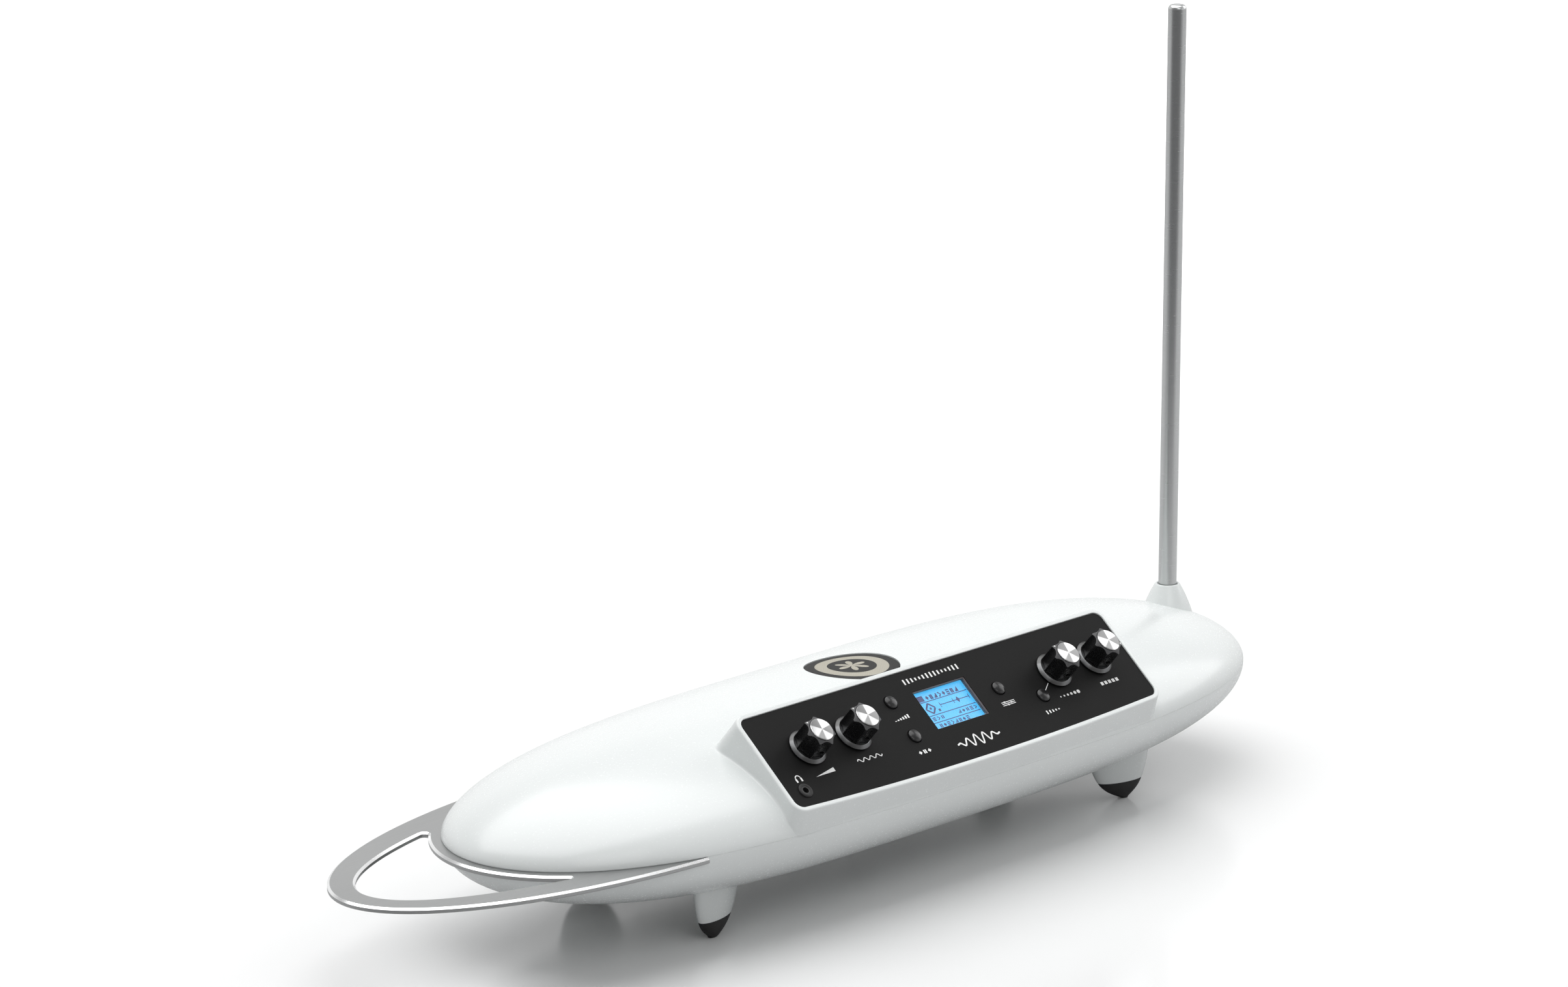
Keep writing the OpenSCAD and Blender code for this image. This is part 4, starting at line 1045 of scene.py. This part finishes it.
# Cap and skirt both carry those painted reflection wedges.
cap_aluminium = turned_metal("turned cap", 0.26, grey(0.78), 0.3, (5, 160, 1))
skirt_grey = turned_metal("satin skirt", 0.12, (0.2, 0.203, 0.206), 0.34, (14, 60, 1))
steel = grained("plated steel", (0.45, 0.46, 0.47), 0.3, 700, 0.1, 20, (0.24, 0.4),
                ((0.4, 0.41, 0.42), (0.52, 0.53, 0.54)), metal=1.0)
brass = grained("brass socket", (0.6, 0.42, 0.16), 0.3, 500, 0.1, 20, (0.25, 0.4),
                ((0.5, 0.34, 0.12), (0.66, 0.48, 0.2)), metal=1.0)
screw_dark = grained("dark zinc screws", grey(0.12, 0.01), 0.35, 900, 0.15, 30, (0.28, 0.45),
                     (grey(0.09, 0.01), grey(0.17, 0.01)), metal=1.0)

# %% Boards, display and cloth
board_green = grained("green board lacquer", (0.01, 0.09, 0.03), 0.3, 350, 0.15, 40, (0.25, 0.42),
                      ((0.008, 0.07, 0.022), (0.02, 0.13, 0.05)), Coat_Weight=0.4)
display_frame = grained("display module frame", (0.25, 0.2, 0.19), 0.5, 900, 0.1, 20, (0.4, 0.5),
                        ((0.22, 0.175, 0.165), (0.28, 0.225, 0.215)))
display_blue = grained("lit display", (0.02, 0.1, 0.2), 0.4, 300, 0.02, 10, None,
                       ((0.018, 0.09, 0.18), (0.022, 0.11, 0.22)),
                       Emission_Color=(0.05, 0.54, 1.0, 1), Emission_Strength=0.8)
display_ink = grained("display segments", (0.003, 0.008, 0.05), 0.5, 900, 0.02, 10, None,
                      ((0.002, 0.006, 0.04), (0.004, 0.01, 0.06)),
                      Emission_Color=(0.01, 0.03, 0.2, 1), Emission_Strength=0.5)
display_glass = grained("clear window", (0.98, 0.99, 1.0), 0.02, 40, 0.01, 20, (0.01, 0.05),
                        Transmission_Weight=1.0, IOR=1.2)
cloth_weave = finish("woven grille cloth", (0.2, 0.19, 0.16), 0.8)

def weave(material):
    """Threads along X and Y, 0.7 mm apart, are raised by sine waves. The colour is warm grey in a
    ring 13.6 to 20.3 mm from the middle and in a rosette r < 9.5 |cos 3a| mm, and black elsewhere."""
    ring_middle, ring_half, petal_long = 0.01695, 0.00335, 0.0095
    middle = (-POD[0] * 0.001, -(POD[1] + SPEAKER_Y) * 0.001, 0)
    vector = place_nodes(material, shift=middle)
    threads = [bands(material, vector, way, 450.0, Distortion=0.6, Detail=1.0) for way in "XY"]
    both = maths(material, "MULTIPLY", *threads)
    bump = node(material, "ShaderNodeBump", Strength=0.5, Distance=0.0003)
    link(material, both, bump.inputs["Height"])
    link(material, bump.outputs["Normal"], main_shader(material).inputs["Normal"])
    x, y, r = around_middle(material, vector)
    three_turns = maths(material, "MULTIPLY", maths(material, "ARCTAN2", y, x), 3.0)
    petal = maths(material, "ABSOLUTE", maths(material, "COSINE", three_turns))
    rosette = maths(material, "LESS_THAN", r, maths(material, "MULTIPLY", petal, petal_long))
    from_ring = maths(material, "ABSOLUTE", maths(material, "SUBTRACT", r, ring_middle))
    shape = maths(material, "MAXIMUM", rosette, maths(material, "LESS_THAN", from_ring, ring_half))
    thread_share = maths(material, "ADD", maths(material, "MULTIPLY", both, 0.5), 0.6)
    colour = blend(material, "MIX", shape, (0.03, 0.03, 0.029, 1), (0.62, 0.59, 0.5, 1))
    dark = blend(material, "MULTIPLY", 1.0, colour, thread_share)
    link(material, dark, main_shader(material).inputs["Base Color"])

weave(cloth_weave)
print("materials:", len(bpy.data.materials))

# %% [markdown]
# ## Dressing the pieces
# Each new piece takes its material, names the body that carries it and the CAD nodes that it
# stands for. CAD nodes that are right as they are keep their mesh and only get the material.

# %% New pieces on their bodies
def dress(piece, material, body, *stands_for, slot=None):
    """Material, body and the nodes replaced."""
    piece.data.materials.clear()
    piece.data.materials.append(material)
    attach(piece, body)
    if stands_for:
        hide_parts(*stands_for)

def second_finish(piece, material, origin, up, low, high, lean):
    """Faces whose middle is low to high above origin along up, and whose normal's share along up
    lies between the two numbers of lean, take a second material."""
    mesh = piece.data
    mesh.materials.append(material)
    over = (in_pod(read(mesh.polygons, "center", 3)) - origin) @ up
    share = read(mesh.polygons, "normal", 3) @ up
    pick = (over > low) & (over < high) & (share > lean[0]) & (share < lean[1])
    mesh.polygons.foreach_set("material_index", pick.astype("i"))
    return int(pick.sum())

dress(top_shell, shell_white, "case", "top_shell", slot="shell_white")
dress(bottom_shell, shell_white, "case", "bottom_shell", slot="shell_white")
dress(volume_antenna, antenna_sheet, "case", "volume_antenna", slot="antenna_sheet")
UPWARDS = np.array([0.0, 0.0, 1.0])
# The chamfer's faces take the painted highlight.
milled = second_finish(volume_antenna, chamfer_painted_highlight, np.zeros(3), UPWARDS, TOP - 1.0, TOP, (0.3, 0.97))
print("faces on the sheet's chamfer:", milled)
for i in range(4):
    dress(legs[i], shell_white, "case", f"leg_{i + 1}", slot="shell_white")
    dress(feet[i], rubber_black, "case", f"foot_{i + 1}", slot="rubber_black")
dress(pitch_rod, rod_aluminium, "pitch_rod", "pitch_antenna", slot="rod_aluminium")
for name, (body, skirt, cap) in knobs.items():
    control = f"{name}_control"
    dress(body, knob_black, control, f"{name}_knob", slot="knob_black")
    dress(skirt, skirt_grey, control, f"{name}_knob_skirt", slot="skirt_grey")
    dress(cap, cap_aluminium, control, f"{name}_knob_cap", slot="cap_aluminium")
    dress(dots[name], mark_white, control)
    # The bevel's faces take the painted sheen.
    on_bevel = second_finish(body, bevel_painted_sheen, PANEL_O, PANEL_N, BEVEL_LOW - 0.1, BEVEL_TOP + 0.05,
                             (0.25, 1.1))
print("faces on a bevel:", on_bevel)
for name, key in keys.items():
    dress(key, button_grey, f"{name}_key", f"{name}_button", slot="button_grey")
dress(lit, display_blue, "case")
dress(screen_marks, display_ink, "case")
dress(liner, display_frame, "case")
dress(panel_marks, mark_white, "case")
dress(cloth, cloth_weave, "case", "speaker_grille", slot="grille_mesh")
dress(phones_ring, rubber_black, "case", slot="socket_black")

# %% CAD nodes that stay
stay = {
    panel_black: "control_panel",
    display_glass: "display_window",
    display_frame: "display_module",
    board_green: "panel_board main_board",
    steel: "volume_pot pitch_pot effect_pot preset_encoder line_sockets pitch_out_socket usb_socket "
           "stand_insert volume_shaft pitch_shaft effect_shaft preset_shaft",
    socket_black: "headphone_socket rear_panel power_inlet power_switch_body power_rocker tact_switches",
    screw_dark: "case_screws panel_screws board_screws speaker_frame",
    rubber_black: "speaker_surround speaker_cone",
    brass: "antenna_socket"}
for material, names in stay.items():
    for name in names.split():
        for slot_ in nodes[name].material_slots:
            slot_.material = material
print("CAD nodes kept:", sum(len(names.split()) for names in stay.values()))

# %% [markdown]
# ## Studio
# A pale glossy floor under one broad soft light overhead, with weaker ones in front and at the
# right. Towards the horizon the floor shows itself white to the camera, as does the world.
# Reflections see a world that is bright low down, dimmer higher up and dimmest on the camera's
# side, a little to its left, and a floor that is dark in front, like the black cards of a
# photographer. That is what draws dark and light lines on rods and turned caps. The floor also
# throws back less light than it shows, as a table much smaller than this plane would.

# %% Floor
bpy.ops.mesh.primitive_plane_add(size=12, location=(0, 0, -0.0002))
floor = bpy.context.object
floor.name = "floor"
floor_pale = finish("pale floor", (0.88, 0.885, 0.885), 0.16)
floor.data.materials.append(floor_pale)

def floor_nodes(material):
    """Emission to the camera rises with distance r as smoothstep(0.45, 2.2 m). To glossy rays the
    base darkens in front, as smoothstep over 0.25 to 0.7 m along the way to the camera."""
    rays = node(material, "ShaderNodeLightPath").outputs
    x, y, r = around_middle(material, place_nodes(material))
    sideways = maths(material, "MULTIPLY", x, -0.72)
    front = maths(material, "ADD", sideways, maths(material, "MULTIPLY", y, -0.69))
    near = maths(material, "MULTIPLY", step(material, front, 0.25, 0.7), rays["Is Glossy Ray"])
    far = maths(material, "MULTIPLY", step(material, r, 0.45, 2.2), rays["Is Camera Ray"])
    plain = blend(material, "MIX", rays["Is Camera Ray"], (0.6, 0.6, 0.605, 1), (0.88, 0.885, 0.885, 1))
    inputs = main_shader(material).inputs
    link(material, blend(material, "MIX", near, plain, (0.1, 0.1, 0.105, 1)), inputs["Base Color"])
    inputs["Emission Color"].default_value = (1, 1, 1, 1)
    link(material, far, inputs["Emission Strength"])

floor_nodes(floor_pale)

# %% World
scene = bpy.context.scene
world = bpy.data.worlds.new("studio")
scene.world = world
world.use_nodes = True
world.node_tree.nodes.clear()

rays = node(world, "ShaderNodeLightPath").outputs
way = node(world, "ShaderNodeTexCoord").outputs["Generated"]
height = node(world, "ShaderNodeSeparateXYZ")
link(world, way, height.inputs["Vector"])
facing = node(world, "ShaderNodeVectorMath", operation="DOT_PRODUCT")
feed(world, facing, (way, (-0.875, -0.485, 0.0)))
high_up = step(world, height.outputs["Z"], 0.32, 0.55, 1.0, 0.5)
camera_side = step(world, facing.outputs["Value"], 0.1, 0.75, 1.0, 0.3)
lit_sky, glossy_sky, white_sky = [node(world, "ShaderNodeBackground", Color=(1, 1, 1, 1), Strength=strength)
                                  for strength in (0.34, 1.0, 1.0)]
link(world, maths(world, "MULTIPLY", high_up, camera_side), glossy_sky.inputs["Strength"])
sky = lit_sky.outputs[0]
seen_by = {"Is Glossy Ray": glossy_sky, "Is Camera Ray": white_sky, "Is Transmission Ray": white_sky}
for ray, seen in seen_by.items():
    mix = node(world, "ShaderNodeMixShader")
    feed(world, mix, (rays[ray], sky, seen.outputs[0]))
    sky = mix.outputs[0]
link(world, sky, node(world, "ShaderNodeOutputWorld").inputs["Surface"])

# %% Lamps
def lamp(name, where, towards, size, power):
    """A square area lamp that looks at a point."""
    data = bpy.data.lights.new(name, "AREA")
    data.size, data.energy = size, power
    made = bpy.data.objects.new(name, data)
    scene.collection.objects.link(made)
    made.location = where
    made.rotation_euler = (Vector(towards) - Vector(where)).to_track_quat("-Z", "Y").to_euler()

lamp("top light", (-0.1, 0.55, 2.3), (-0.05, 0.1, 0.05), 3.0, 60)
lamp("front light", (-0.9, -2.0, 1.7), (0, 0, 0.05), 1.6, 11)
lamp("right light", (2.2, -0.6, 1.4), (0, 0, 0.05), 1.6, 14)

# %% Camera
camera = bpy.data.objects.new("camera", bpy.data.cameras.new("camera"))
scene.collection.objects.link(camera)
camera.data.lens, camera.data.sensor_width = 136.52, 36.0
camera.location = (-2.20315, -2.10825, 1.0284)
camera.rotation_euler = Euler(np.radians([74.92, 0.0, -46.01]))
camera.data.clip_end = 50
scene.camera = camera
scene.view_settings.view_transform = "Standard"
